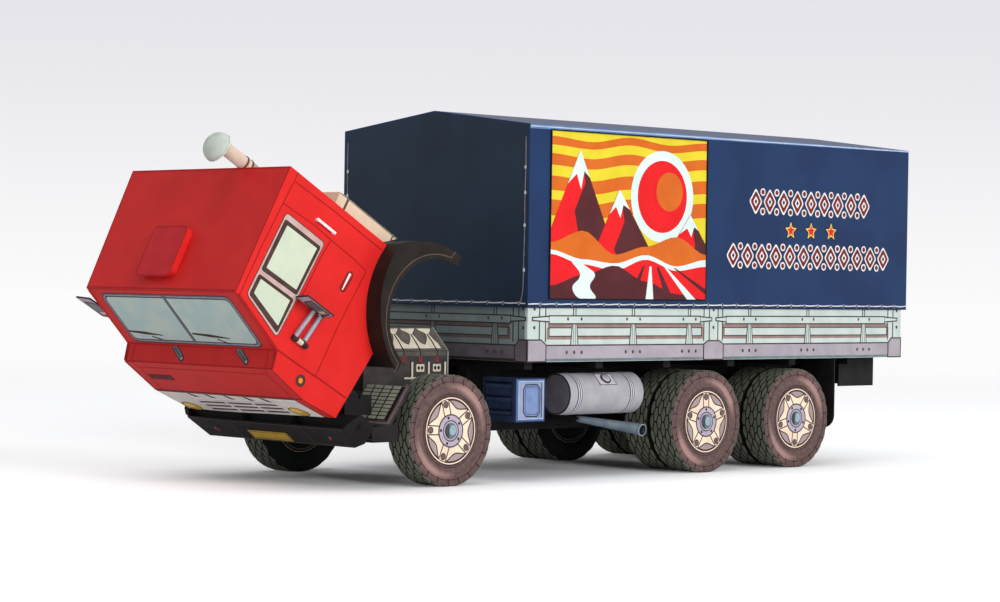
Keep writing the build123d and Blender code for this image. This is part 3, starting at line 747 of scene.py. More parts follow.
def make_sky():
    """Pale studio backdrop, a little greyer towards the top, over an even soft light."""
    world = bpy.data.worlds.new("studio")
    bpy.context.scene.world = world
    world.use_nodes = True
    recipe = Recipe(world.node_tree)
    rays = recipe.tree.nodes.new("ShaderNodeLightPath")
    seen = Value(recipe, rays.outputs["Is Camera Ray"]) + Value(recipe, rays.outputs["Is Glossy Ray"])
    height = recipe.node("ShaderNodeSeparateXYZ", None, {0: recipe.node("ShaderNodeTexCoord")}, 2)
    backdrop = recipe.blend(height.smooth(*SKY_BAND), linear(PAPER_WHITE), linear(SKY_TOP))
    shown = recipe.node("ShaderNodeBackground", None, {"Color": backdrop, "Strength": 1.0})
    light = recipe.node("ShaderNodeBackground", None, {"Color": (1, 1, 1, 1), "Strength": WORLD_LIGHT})
    both = recipe.node("ShaderNodeMixShader", None, {0: seen, 1: light, 2: shown})
    recipe.node("ShaderNodeOutputWorld", None, {"Surface": both})


# Each lamp: the way to it from the truck, its distance and size in metres, and its share of full light
LAMPS = {
    "window": ((0.93, -0.12, 0.34), 1.3, 0.7, 0.62),
    "ceiling": ((0.1, -0.2, 1.0), 1.5, 1.2, 0.22),
}

LAMP_AIM = (0, 0, 0.05)


def make_lamps():
    middle = Vector(LAMP_AIM)
    for name, (way, distance, size, share) in LAMPS.items():
        lamp = bpy.data.lights.new(name, "AREA")
        lamp.shape = "DISK"
        lamp.size = size
        lamp.energy = share * math.pi ** 2 * distance ** 2
        holder = bpy.data.objects.new(name, lamp)
        direction = Vector(way).normalized()
        turn = direction.to_track_quat("Z", "Y").to_matrix().to_4x4()
        holder.matrix_world = Matrix.Translation(middle + direction * distance) @ turn
        bpy.context.scene.collection.objects.link(holder)


# Wheels

# axle, twin wheels, angle of the first spoke in degrees
WHEELS = (("front", False, 33.0), ("mid", True, 20.0), ("rear", True, 50.0))
TYRE_STEPS = 112
TYRE_EDGE = 0.18
TREAD_COUNT = 22
TREAD_COLUMNS = 6
CELL_GAP = 0.5
# Width of a cell's flat end, as a share of its full width
CELL_END = 0.42
TWIN_GAP = 1.5
# The gleam on a sidewall: its distance from the bore, its width and the angle at which it is brightest
GLEAM_RING = 2.9
GLEAM_WIDTH = 1.5
GLEAM_TURN = math.radians(228)
# Degrees by which the right wheels stand further round than the left ones
RIGHT_TURN = 40


def make_sidewall_material():
    """Mottled mauve sidewall, whose paler gleam is kept in the mesh."""
    material, recipe = new_material("tyre_sidewall")
    place = recipe.node("ShaderNodeTexCoord", output=3)
    gleam = recipe.node("ShaderNodeAttribute", {"attribute_name": "gleam"}, output=2)
    mottle = recipe.noise(place, 1.1, 4.0, 0.7)
    cloud = recipe.noise(place, 4.5, 2.0)
    base = recipe.blend(mottle.smooth(0.3, 0.7), linear((80, 62, 60)), linear((110, 86, 82)))
    warm = recipe.blend((gleam * 1.1 + cloud * 0.5 - 0.35).smooth(0.15, 1.0), base, linear((170, 134, 128)))
    recipe.matt(warm, mottle * 0.2 + 0.5, 0.3, mottle * 0.8 + cloud, 0.08)
    return material


def add_tyre(mesh, gleam, centre, outward, radius, bore, face_x, width, printed):
    """One tyre: outer face, printed or dark, tread, inner face and bore. outward is 1 on the truck's left."""
    steps = [bore, bore + 1.2, bore + 2.6, bore + 4.0, radius - 1.5, radius - TYRE_EDGE]
    profile = [(0.0, r) for r in steps]
    profile += [(TYRE_EDGE, radius), (width - TYRE_EDGE, radius), (width, radius - TYRE_EDGE), (width, bore)]
    loops = []
    for depth, r in profile:
        loop = []
        for i in range(TYRE_STEPS):
            t = math.tau * i / TYRE_STEPS
            place = Vector((face_x - outward * depth * MM, centre.y + r * MM * math.cos(t),
                            centre.z + r * MM * math.sin(t)))
            vert = mesh.verts.new(place)
            hump = math.exp(-((r - bore - GLEAM_RING) / GLEAM_WIDTH) ** 2)
            vert[gleam] = hump * (0.45 + 0.55 * math.cos(2 * (t - GLEAM_TURN)))
            loop.append(vert)
        loops.append(loop)
    printed_loops = len(steps) - 1 if printed else 0
    for k, loop in enumerate(loops):
        following = loops[(k + 1) % len(loops)]
        for i in range(TYRE_STEPS):
            j = (i + 1) % TYRE_STEPS
            corners = (loop[i], loop[j], following[j], following[i])
            made = mesh.faces.new(corners if outward > 0 else corners[::-1])
            made.material_index = 0 if k < printed_loops else 1
            made.smooth = True


def make_tread(target, centre, outward, radius, face_x, width):
    """Net of long six-sided cells round the tread, by a Geometry Nodes tree."""
    pitch = width / (TREAD_COLUMNS - 0.2)
    half_l = math.pi * radius / TREAD_COUNT - CELL_GAP / 2
    half_w = pitch / (1 + CELL_END) - CELL_GAP / 2
    half_end = pitch * CELL_END / (1 + CELL_END) - CELL_GAP / 2
    middle = 0.35 * pitch
    top = Face(Vector((face_x, centre.y, centre.z + radius * MM)), Vector((-outward * MM, 0, 0)),
               Vector((0, MM, 0)), Vector((0, 0, 1)))
    shape = Print("cell", target.body, target.slot)
    outline = [(middle - half_w, 0.0), (middle - half_end, -half_l), (middle + half_end, -half_l),
               (middle + half_w, 0.0), (middle + half_end, half_l), (middle - half_end, half_l)]
    shape.prism(top, outline, "tread_cell", -0.12, 0.05)
    around = repeated(shape, WHEEL_TREE, {
        "Columns": TREAD_COLUMNS, "Count": TREAD_COUNT, "Column step": -outward * pitch * MM,
        "Centre": centre, "Ink": ink("tread_cell"),
    })
    low_x, high_x = sorted((face_x - outward * 0.05 * MM, face_x - outward * (width - 0.05) * MM))
    for cut, way in ((low_x, -1), (high_x, 1)):
        geometry = around.verts[:] + around.edges[:] + around.faces[:]
        cut_made = bmesh.ops.bisect_plane(around, geom=geometry, plane_co=(cut, 0, 0), plane_no=(way, 0, 0),
                                          clear_outer=True)
        open_edges = [edge for edge in cut_made["geom_cut"] if isinstance(edge, bmesh.types.BMEdge)]
        bmesh.ops.holes_fill(around, edges=open_edges, sides=0)
    add_mesh(target, around, "tread_cell")


# Radii of the printed wheel, in millimetres
HUB_RIM = 9.2
# A window between two spokes: radius of its edge, degrees to either side, and its depth
WINDOW_EDGE = HUB_RIM - 0.85
WINDOW_HALF = 25.5
WINDOW_DIP = 2.0
HUB_PLATE = 4.35
HUB_RING = 2.75
HUB_CAP = 2.2
BOLT_RING = 7.35
TYRE_BAND = 13.25
TICKS = 22
# Radius of a tick's outer end, and how far it leans in radians
TICK_TIP = 14.75
TICK_LEAN = 0.02


def draw_hub(target, face, first_spoke):
    """Printed wheel: double rim, five spokes with an oval bolt each, lens windows, plate and cap."""
    target.edged(face, circle(HUB_RIM, 72), "cream", 1, 0.28, "outline", 3)
    target.line(face, circle(HUB_RIM - 0.62, 72), 0.22, "outline", 3, True)
    for i in range(5):
        turn = first_spoke + 72 * i
        draw_spoke(target, face, turn)
        draw_window(target, face, turn + 36)
    target.edged(face, circle(HUB_PLATE, 48), "lavender", 4, 0.34, "outline", 5)
    for i in range(5):
        t = math.radians(first_spoke + 72 * i)
        r = (HUB_PLATE + HUB_RING) / 2 + 0.05
        target.fill(face, oval(r * math.cos(t), r * math.sin(t), 0.42, 0.42, 12), "outline", 5)
    target.line(face, circle(HUB_RING, 40), 0.3, "outline", 5, True)
    target.fill(face, circle(HUB_CAP, 40), "cap_mid", 5)
    target.fill(face, arc(0, 0, HUB_CAP, 105, 255, 20), "cap_dark", 6)
    target.fill(face, oval(0.75, 0.15, 1.15, 1.35, 24), "cap_light", 6)


def draw_spoke(target, face, turn):
    """Two side lines and an oval bolt."""
    c, s = math.cos(math.radians(turn)), math.sin(math.radians(turn))

    def spoke(points):
        return [(c * r - s * t, s * r + c * t) for r, t in points]

    for side in (-1, 1):
        target.line(face, spoke([(HUB_PLATE, side * 1.15), (HUB_RIM - 0.75, side * 1.25)]), 0.3, "outline", 3)
    target.edged(face, spoke(oval(BOLT_RING, 0, 0.9, 0.84)), "bolt", 3, 0.2, "outline", 4)


def draw_window(target, face, turn):
    """Lens along the rim between two spokes."""
    outer = arc(0, 0, WINDOW_EDGE, turn - WINDOW_HALF, turn + WINDOW_HALF, 12)
    inner = []
    for i in range(1, 12):
        t = math.radians(turn + WINDOW_HALF - 2 * WINDOW_HALF * i / 12)
        r = WINDOW_EDGE - WINDOW_DIP * math.sin(math.pi * i / 12)
        inner.append((r * math.cos(t), r * math.sin(t)))
    target.edged(face, outer + inner, "window_mauve", 2, 0.32, "outline", 3)


def draw_sidewall(target, face):
    """Rings and radial ticks of the tyre's edge."""
    target.line(face, circle(TYRE_BAND, 84), 0.2, "tick", 2, True)
    target.line(face, circle(HUB_RIM + 0.75, 72), 0.16, "tick", 2, True)
    for i in range(TICKS):
        t = math.tau * (i + 0.3) / TICKS
        ends = [(r * math.cos(t + lean), r * math.sin(t + lean))
                for r, lean in ((TYRE_BAND - 0.35, 0.0), (TICK_TIP, TICK_LEAN))]
        target.line(face, ends, 0.3, "tick", 3)


def draw_inner_disc(target, face):
    """Dark back of a wheel with one faint ring."""
    target.fill(face, circle(HUB_RIM, 60), "soot", 1)
    target.line(face, circle(HUB_RIM - 0.7, 60), 0.35, "guard_line", 2, True)


def make_wheels():
    sidewall = make_sidewall_material()
    for axle, twins, first_spoke in WHEELS:
        for side, outward in (("left", 1), ("right", -1)):
            body = f"{axle}_wheel_{side}"
            low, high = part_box(f"{axle}_tyre_{side}")
            centre = (low + high) / 2
            centre.x = 0
            radius = (high.z - low.z) / 2 / MM
            rim_low, rim_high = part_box(f"{axle}_rim_{side}")
            bore = (rim_high.z - rim_low.z) / 2 / MM
            faces = sorted((abs(low.x), abs(high.x)))
            outer_x = outward * faces[1]
            inner_x = outward * faces[0]
            width = (faces[1] - faces[0]) / MM
            tyre_width = (width - TWIN_GAP) / 2 if twins else width
            mesh = bmesh.new()
            gleam = mesh.verts.layers.float.new("gleam")
            marks = Print(f"{axle}_wheel_print_{side}", body, "board_rim")
            tread = Print(f"{axle}_tread_{side}", body, "board_tyre")
            starts = [outer_x]
            if twins:
                starts.append(outer_x - outward * (tyre_width + TWIN_GAP) * MM)
            for start in starts:
                add_tyre(mesh, gleam, centre, outward, radius, bore, start, tyre_width, start == outer_x)
                make_tread(tread, centre, outward, radius, start, tyre_width)
            finish_piece(f"{axle}_tyre_round_{side}", mesh, [sidewall, ink("tread")], body, "board_tyre",
                         (f"{axle}_tyre_{side}",))
            tread.finish()
            middle = Vector((outer_x, centre.y, centre.z))
            face = Face(middle, Vector((0, MM, 0)), Vector((0, 0, MM)), Vector((outward, 0, 0)))
            draw_hub(marks, face, first_spoke if outward > 0 else first_spoke + RIGHT_TURN)
            draw_sidewall(marks, face)
            back = Face(Vector((inner_x, centre.y, centre.z)), face.along, face.up, Vector((-outward, 0, 0)))
            draw_inner_disc(marks, back)
            marks.finish()


# Cab prints

def cab_strip(start, end):
    """Face across the cab between two folds: x along it, millimetres down from the first fold."""
    (ahead, rise), _ = slope(start, end)
    return face_through(cab_row, (0.0, *start), (1.0, *start), (0.0, start[0] + ahead, start[1] + rise),
                        (0.0, -rise, ahead))


ROOF_SLOPE = math.atan2(ROOF_REAR[1] - ROOF_FRONT[1], ROOF_FRONT[0])
SIDE_TAPER = (CAB_HALF_FRONT - CAB_HALF_BACK) / GRILLE_HEAD[0]


def cab_side_face():
    """Left cab side: millimetres forward along the roof from its rear edge, and down from the roof."""
    c, s = math.cos(ROOF_SLOPE), math.sin(ROOF_SLOPE)
    x, height = CAB_HALF_BACK, ROOF_REAR[1]
    return face_through(cab_row, (x, 0.0, height), (x + SIDE_TAPER * c, c, height - s),
                        (x - SIDE_TAPER * s, -s, height - c), (1.0, 0.0, 0.0))


# A side's window frame, and the rubber and the glass of its two panes
WINDOW_FRAME = [(10.9, 4.5), (12.0, 19.4), (28.6, 18.3), (40.3, 17.2), (34.9, 3.3)]
WINDOW_PANES = (
    ([(12.7, 5.1), (13.6, 18.6), (27.9, 17.6), (27.3, 4.5)],
     [(13.7, 6.3), (14.4, 17.7), (26.8, 16.9), (26.2, 5.6)]),
    ([(28.7, 4.4), (29.4, 17.3), (39.2, 16.7), (34.5, 4.1)],
     [(29.5, 5.4), (30.1, 16.4), (37.5, 16.1), (33.6, 5.2)]),
)
DOOR_HANDLE = [(15.6, 30.9), (19.4, 30.5)]
SIDE_LAMP = (46.6, 29.6)


def draw_side_window(target, face):
    """Pale frame, then for each pane its dark rubber with a line in it and its glass."""
    target.edged(face, rounded(WINDOW_FRAME, 1.2), "frame_pink", 2, 0.2, "outline", 3)
    for rubber, glass in WINDOW_PANES:
        target.edged(face, rounded(rubber, 0.6), "rubber", 3, 0.24, "outline", 4)
        target.line(face, rounded(inset(rubber, 0.55), 0.5), 0.12, "outline", 4, True)
        target.fill(face, rounded(glass, 0.3), "side_glass", 5)


def draw_cab_side(target, face):
    """Window, door lines, handle and lamp of a cab side."""
    draw_side_window(target, face)
    target.lines(face, 0.3, "red_dark",
                 [(0.2, 3.0), (9.4, 2.4), (20.7, 1.7), (36.2, 1.4)],
                 [(2.8, 3.0), (3.1, 12.0), (3.5, 20.5), (4.8, 37.4)],
                 [(9.4, 2.6), (9.6, 14.6), (10.5, 22.0), (11.2, 30.6), (12.0, 35.3)],
                 [(10.6, 20.8), (15.4, 20.1), (26.4, 19.5), (30.2, 18.9)],
                 [(12.0, 35.3), (30.0, 33.8), (43.4, 33.5)])
    target.lines(face, 0.5, "red_dark",
                 [(36.0, 1.0), (40.4, 12.6), (42.9, 18.9), (43.3, 26.0), (43.6, 36.0), (44.1, 45.3)],
                 [(42.9, 18.95), (47.7, 20.0)])
    target.fill(face, capsule(*DOOR_HANDLE, 2.3), "outline", 2)
    target.fill(face, capsule(*DOOR_HANDLE, 1.9), "red_dark", 3)
    target.fill(face, [(15.0, 30.4), (15.1, 31.2), (19.9, 30.6), (19.9, 30.25)], "handle_pale", 4)
    target.edged(face, oval(*SIDE_LAMP, 1.5, 1.5), "rubber", 2, 0.2, "outline", 3)
    target.fill(face, oval(*SIDE_LAMP, 0.72, 0.72), "amber", 3)


def draw_windscreen(target):
    """Printed windscreen in its tube frame, with two wiper blades."""
    face = cab_strip(ROOF_FRONT, SCREEN_FOOT)
    outer = rect(-28.2, 1.7, 27.9, 19.6)
    target.fill(face, rounded(outer, 2.6), "outline", 1)
    target.fill(face, rounded(inset(outer, 0.28), 2.4), "tube_grey", 2)
    target.line(face, rounded(inset(outer, 0.75), 2.1), 0.16, "lavender", 3, True)
    target.fill(face, rounded(inset(outer, 1.15), 1.9), "outline", 3)
    target.fill(face, rounded(inset(outer, 1.38), 1.8), "screen_glass", 4)
    for width, ink_name, layer in ((1.35, "outline", 5), (0.95, "tube_grey", 6)):
        target.line(face, [(-0.2, 2.3), (-0.2, 18.7)], width, ink_name, layer)
    for blade, arm in ((((-27.4, 15.4), (-12.8, 16.6)), ((-18.1, 17.1), (-13.2, 18.6))),
                       (((1.1, 15.4), (16.0, 16.7)), ((10.3, 17.1), (14.4, 18.6)))):
        (a0, b0), (a1, b1) = blade
        middle_a, middle_b = (a0 + a1) / 2, (b0 + b1) / 2
        target.fill(face, [(a0, b0 - 0.25), (middle_a, middle_b - 0.55), (a1, b1 - 0.15), (a1, b1 + 0.15),
                           (middle_a, middle_b + 0.5), (a0, b0 + 0.35)], "rubber", 5)
        target.line(face, [(a0 + 0.6, b0 + 0.1), (a1 - 1.0, b1 - 0.05)], 0.14, "outline", 6)
        target.line(face, arm, 0.5, "rubber", 5)
    target.line(face, [(-31.6, 0.3), (31.6, 0.3)], 0.28, "red_dark")
    target.pair(face, (31.9, 0.4), (31.6, 20.2), 0.3, "red_dark")
    target.line(face, [(-31.4, 20.2), (31.4, 20.2)], 0.3, "red_dark")


def draw_ledge(target):
    """Ledge under the windscreen with the wiper arms' feet."""
    face = cab_strip(SCREEN_FOOT, LEDGE_EDGE)
    target.pair(face, (28.7, 0.2), (28.9, 4.9), 0.24, "red_dark")
    # Dark red line by each side fold: painted shade on the front face's edge
    target.pair(face, (31.5, 0.2), (31.5, 4.9), 0.5, "red_dark")
    target.line(face, [(-31.3, 4.75), (31.3, 4.75)], 0.3, "red_dark")
    for start, end in (((-10.9, 0.2), (-6.9, 3.3)), ((16.5, 0.2), (20.6, 3.3))):
        target.fill(face, capsule(start, end, 2.0), "outline", 2)
        target.fill(face, capsule(start, end, 1.4), "tube_grey", 3)
        crease = [(start[0] + 0.3, start[1] + 0.38), (end[0] - 0.4, end[1] - 0.22)]
        target.line(face, crease, 0.3, "outline", 4)
        target.edged(face, oval(*end, 0.55, 0.55), "arm_mauve", 4, 0.2, "outline", 5)


def draw_upper_front(target):
    """Panel under the ledge with its edge strips and air slot."""
    face = cab_strip(LEDGE_EDGE, GRILLE_HEAD)
    strip = [(-28.1, 12.5), (-27.4, 2.2), (27.4, 2.2), (28.1, 12.5)]
    target.line(face, strip, 0.26, "red_dark")
    target.pair(face, (27.4, 2.2), (28.9, 0.2), 0.26, "red_dark")
    # Dark red line by each side fold: painted shade on the front face's edge
    target.pair(face, (31.4, 0.2), (31.6, 12.6), 0.4, "red_dark")
    target.fill(face, rect(-27.2, 5.4, -17.0, 7.5), "outline", 3)
    for i in range(4):
        target.line(face, [(-26.8, 5.85 + 0.42 * i), (-17.4, 5.85 + 0.42 * i)], 0.12, "red_dark", 4)
    target.line(face, [(-31.6, 12.75), (31.6, 12.75)], 0.34, "outline")


# Middles of the two lamps, across the grille and down from its head, and half their width and height
LAMPS_AT = ((-28.0, 10.9), (20.1, 9.3))
LAMP_HALF = (3.25, 2.7)
SLOT_PLACES = (-18.8, -11.3, -3.1, 5.3, 12.4)
SLAT_RUNS = ((-19.9, -8.4), (-6.8, 4.0), (5.2, 15.0))
# Distance of each row of slats down from the grille's head, at its two ends
SLAT_ROWS = ((6.9, 5.5), (9.3, 7.8), (11.7, 10.2))
SLAT_ENDS = (-20.0, 15.0)
# How far the white sheet hangs below the fold, as x and distance
GRILLE_HANG = ((27.6, 0.1), (16.0, 0.2), (2.0, 0.7), (-12.0, 1.25), (-20.0, 1.3), (-31.7, 0.9))


def draw_grille(target):
    """White grille sheet with slots along its head, slats in three runs and a round lamp at each end."""
    face = cab_strip(GRILLE_HEAD, GRILLE_FOOT)
    length = math.dist(GRILLE_HEAD, GRILLE_FOOT)
    sheet = [(-31.8, 0.5), (27.6, 0.5)] + [(x, length + hang) for x, hang in GRILLE_HANG]
    target.prism(face, sheet, "white", -0.5, INK_LIFT)
    target.line(face, [sheet[1], sheet[2]], 0.34, "outline", 2)
    target.line(face, [(-31.7, 0.6), (27.6, 0.6)], 0.44, "outline", 2)
    # Dark red line by the side fold: painted shade on the front face's edge
    target.line(face, [(31.6, 0.3), (31.3, length - 0.2)], 0.5, "red_dark", 2)
    for at in SLOT_PLACES:
        slot = [(at, 1.0), (at + 1.5, 1.0), (at + 3.1, 3.5), (at + 1.1, 3.4)]
        target.fill(face, slot, "rubber", 2)
    for run in ([(-19.4, 5.4), (15.6, 4.1)], [(16.4, 3.0), (27.0, 2.9)]):
        target.line(face, run, 0.2, "arm_mauve", 2)
    low_x, high_x = SLAT_ENDS
    for first, last in SLAT_ROWS:
        slope = (last - first) / (high_x - low_x)
        for start, end in SLAT_RUNS:
            at, to = (first + slope * (x - low_x) for x in (start, end))
            target.line(face, [(start, at), (end, to)], 0.8, "outline", 2)
            target.line(face, [(start, at + 0.62), (end, to + 0.62)], 0.34, "arm_mauve", 3)
    half_a, half_b = LAMP_HALF
    for at, down in LAMPS_AT:
        lamp = oval(at, down, half_a, half_b)
        target.fill(face, lamp, "lamp_yellow", 3)
        target.fill(face, oval(at - 0.5, down - 0.5, half_a * 0.6, half_b * 0.55), "lamp_pale", 4)
        target.line(face, lamp, 0.24, "board_line", 5, True)


# Lid of the hatch on the roof, as x and distance from the roof's rear edge; its height and corner
HATCH_LID = (-10.4, 18.1, 4.3, 32.7)
HATCH_RISE = 1.8
HATCH_CORNER = 1.8


def draw_roof(target):
    """Lines along the roof's edges, and the darker lid of the hatch."""
    face = cab_strip(ROOF_REAR, ROOF_FRONT)
    length = math.dist(ROOF_REAR, ROOF_FRONT)
    lid = rounded(rect(*HATCH_LID), HATCH_CORNER)
    target.prism(face, lid, "hatch_red", HATCH_RISE - 0.4, HATCH_RISE + INK_LIFT)
    lid_edge = rounded(inset(rect(*HATCH_LID), 0.16), HATCH_CORNER - 0.16)
    target.line(face.raised(HATCH_RISE), lid_edge, 0.34, "red_dark", 2, True)
    target.line(face, [(-33.6, 0.3), (33.6, 0.3)], 0.3, "red_dark")
    target.line(face, [(-32.2, length - 0.3), (32.2, length - 0.3)], 0.3, "red_dark")
    target.pair(face, (33.75, 0.3), (32.2, length - 0.3), 0.3, "red_dark")


def make_cab_prints():
    target = Print("cab_print", "cab", "card_red")
    for side in cab_side_face().both():
        draw_cab_side(target, side)
    for draw in (draw_windscreen, draw_ledge, draw_upper_front, draw_grille, draw_roof):
        draw(target)
    target.finish()


# Boards of the bed: heights of their printed parts above the ground

BOARD_FACE = 38.55
BED_FRONT = 25.5
BED_BACK = 191.6
SILL_LOW = 33.4
SILL_TOP = 37.9
RECESS_LOW = 39.9
RECESS_TOP = 42.75
BAR_LOW = 43.9
BAR_MIDDLE = 45.2
BAR_TOP = 46.1
BOARD_SEEN = 49.9
BRACKET_TOP = 39.4
# Half width and half height of a bolt and of the gleam on it
BOLT_HALF = (0.378, 0.483)
GLEAM_HALF = (0.168, 0.252)
# Each panel: start and end of its recess, start and end of its bar, tips of the bar, middles of its ribs
SIDE_PANELS = (
    (33.4, 97.5, 33.8, 96.3, 27.3, 101.4, (43.9, 67.8, 91.6)),
    (106.5, 184.9, 107.8, 183.2, 103.2, 189.5, (118.4, 145.5, 172.7)),
)
END_PANELS = ((-31.4, 31.4, -31.9, 31.9, -37.9, 37.9, (-25.7, 0.0, 25.7)),)
# Each post: its vertical lines, its bolts and its bracket
SIDE_POSTS = (
    ((30.1, 32.5), 28.1, ((25.6, SILL_LOW), (32.7, SILL_LOW), (32.7, 38.0), (30.8, BRACKET_TOP),
                          (25.6, BRACKET_TOP))),
    ((98.0, 100.4, 104.2, 106.2), 102.2, ((98.0, SILL_LOW), (106.6, SILL_LOW), (106.6, 37.9), (104.8, 38.9),
                                          (99.8, 38.9), (98.0, 37.9))),
    ((184.9, 187.5), 189.4, ((185.2, SILL_LOW), (191.5, SILL_LOW), (191.5, BRACKET_TOP), (186.8, BRACKET_TOP),
                             (185.2, 38.0))),
)
END_POSTS = (
    ((32.9, 35.1), 36.9, ((33.8, SILL_LOW), (38.5, SILL_LOW), (38.5, BRACKET_TOP), (35.4, BRACKET_TOP),
                          (33.8, 37.6))),
)
# Inks of a board in the light, and darker copies of them that paint the shade of the cab on the headboard
LIT_BOARD = {"plain": "mint", "sill": "sill", "warm": "board_warm", "line": "board_line", "edge": "sill_edge"}
SHADED_BOARD = {"plain": "mint_shade", "sill": "sill_shade", "warm": "warm_shade", "line": "line_shade",
                "edge": "line_shade"}


def draw_bolt(target, face, at, height, inks):
    """Dark oval bolt with a pale gleam."""
    target.fill(face, oval(at, height, *BOLT_HALF, 12), inks["line"], 7)
    target.fill(face, oval(at + 0.08, height + 0.05, *GLEAM_HALF, 8), "bolt", 8)


def draw_panel(target, face, panel, inks):
    """Recess with its warm border, ribs, straps and the bar with pointed tips across them."""
    start, end, bar_start, bar_end, tip_start, tip_end, ribs = panel
    target.fill(face, rect(start, RECESS_TOP, end, BAR_LOW + 0.1), inks["warm"], 2)
    for gap, width, ink_name, layer in ((0.0, 0.8, inks["warm"], 2), (0.5, 0.3, inks["line"], 3)):
        target.line(face, [(start + gap, RECESS_TOP), (start + gap, RECESS_LOW + gap),
                           (end - gap, RECESS_LOW + gap), (end - gap, RECESS_TOP)], width, ink_name, layer)
    target.line(face, [(start, RECESS_TOP), (end, RECESS_TOP)], 0.26, inks["line"], 3)
    for at in ribs:
        rib = [(at - 0.85, BAR_LOW), (at + 0.85, BAR_LOW), (at + 1.45, SILL_TOP), (at - 1.45, SILL_TOP)]
        target.edged(face, rib, inks["plain"], 4, 0.32, inks["line"], 5)
        for side in (-1, 1):
            edge = at + side * 0.5
            target.line(face, [(at + side * 0.3, BAR_LOW), (edge, SILL_TOP)], 0.18, inks["line"], 5)
            target.line(face, [(edge, BAR_TOP), (edge, BOARD_SEEN)], 0.32, inks["line"], 3)
            draw_bolt(target, face, at + side * 2.7, 45.25, inks)
        for step in (-1, 0, 1):
            draw_bolt(target, face, at + step * 2.95, 35.9, inks)
    bar = [(tip_start, BAR_MIDDLE - 0.4), (bar_start, BAR_MIDDLE - 0.75), (bar_start, BAR_LOW),
           (bar_end, BAR_LOW), (bar_end, BAR_MIDDLE - 0.75), (tip_end, BAR_MIDDLE - 0.4),
           (tip_end, BAR_MIDDLE + 0.4), (bar_end, BAR_MIDDLE + 0.75), (bar_end, BAR_TOP),
           (bar_start, BAR_TOP), (bar_start, BAR_MIDDLE + 0.75), (tip_start, BAR_MIDDLE + 0.4)]
    target.edged(face, bar, inks["plain"], 5, 0.34, inks["line"], 6)
    for at in (bar_start, bar_end):
        target.line(face, [(at, BAR_LOW), (at, BAR_TOP)], 0.2, inks["line"], 6)


def draw_board(target, face, start, end, panels, posts, inks):
    """Printed board: sill along its foot, barred panels, and posts with a bracket each."""
    target.fill(face, rect(start, SILL_LOW, end, SILL_TOP), inks["sill"], 1)
    target.fill(face, rect(start, SILL_LOW, end, SILL_LOW + 0.75), inks["edge"], 2)
    target.line(face, [(start, SILL_TOP), (end, SILL_TOP)], 0.36, inks["line"], 3)
    for panel in panels:
        draw_panel(target, face, panel, inks)
    for lines, bolts, bracket in posts:
        for at in lines:
            target.line(face, [(at, BRACKET_TOP - 0.6), (at, BOARD_SEEN)], 0.36, inks["line"], 3)
        for height in (48.0, 42.8):
            draw_bolt(target, face, bolts, height, inks)
        target.edged(face, list(bracket), inks["sill"], 6, 0.36, inks["line"], 7)


def make_board_prints():
    target = Print("board_print", "chassis", "card_mint")
    for face in side_face(BOARD_FACE).both():
        draw_board(target, face, BED_FRONT + 0.1, BED_BACK - 0.1, SIDE_PANELS, SIDE_POSTS, LIT_BOARD)
    both_posts = END_POSTS + tuple(
        (tuple(-at for at in lines), -bolts, tuple((-a, b) for a, b in bracket[::-1]))
        for lines, bolts, bracket in END_POSTS)
    for y, way, inks in ((BED_FRONT, -1, SHADED_BOARD), (BED_BACK, 1, LIT_BOARD)):
        face = cross_face(y, way)
        draw_board(target, face, -BOARD_FACE + 0.1, BOARD_FACE - 0.1, END_PANELS, both_posts, inks)
    target.finish()


# Tilt

TILT_FACE = 39.15
TILT_FRONT = 24.8
TILT_BACK = 193.4
TILT_HEM = 48.3
TILT_EAVE = 98.9
ROPE_HEIGHT = 49.35
ROPE_PITCH = 6.3
PICTURE = (32.9, 50.8, 97.5, 97.6)
# Run of the rope up an end's side edge, and the heights of its knots
END_ROPE = ((37.6, 95.4), (37.7, 87.0), (37.5, 78.0), (37.6, 69.0), (37.4, 60.0), (37.3, 53.2), (36.5, 49.9))
END_KNOTS = (87.0, 80.0, 71.0, 58.7)


def clipped(outline, a0, b0, a1, b1):
    """The part of a closed outline that lies in a rectangle."""
    for axis, limit, sign in ((0, a0, 1), (0, a1, -1), (1, b0, 1), (1, b1, -1)):
        kept = []
        for before, here in zip(outline[-1:] + outline[:-1], outline):
            was, now = sign * (before[axis] - limit), sign * (here[axis] - limit)
            if (was < 0) != (now < 0):
                share = was / (was - now)
                kept.append(tuple(p + (q - p) * share for p, q in zip(before, here)))
            if now >= 0:
                kept.append(here)
        outline = kept
    return outline


def hill(start, end, foot, rises, steps=26):
    """A band whose top follows a smooth row of heights between start and end."""
    points = [(end, foot), (start, foot)]
    for i in range(steps + 1):
        place = i / steps * (len(rises) - 1)
        low = min(int(place), len(rises) - 2)
        t = place - low
        t = t * t * (3 - 2 * t)
        points.append((start + (end - start) * i / steps, rises[low] + (rises[low + 1] - rises[low]) * t))
    return points


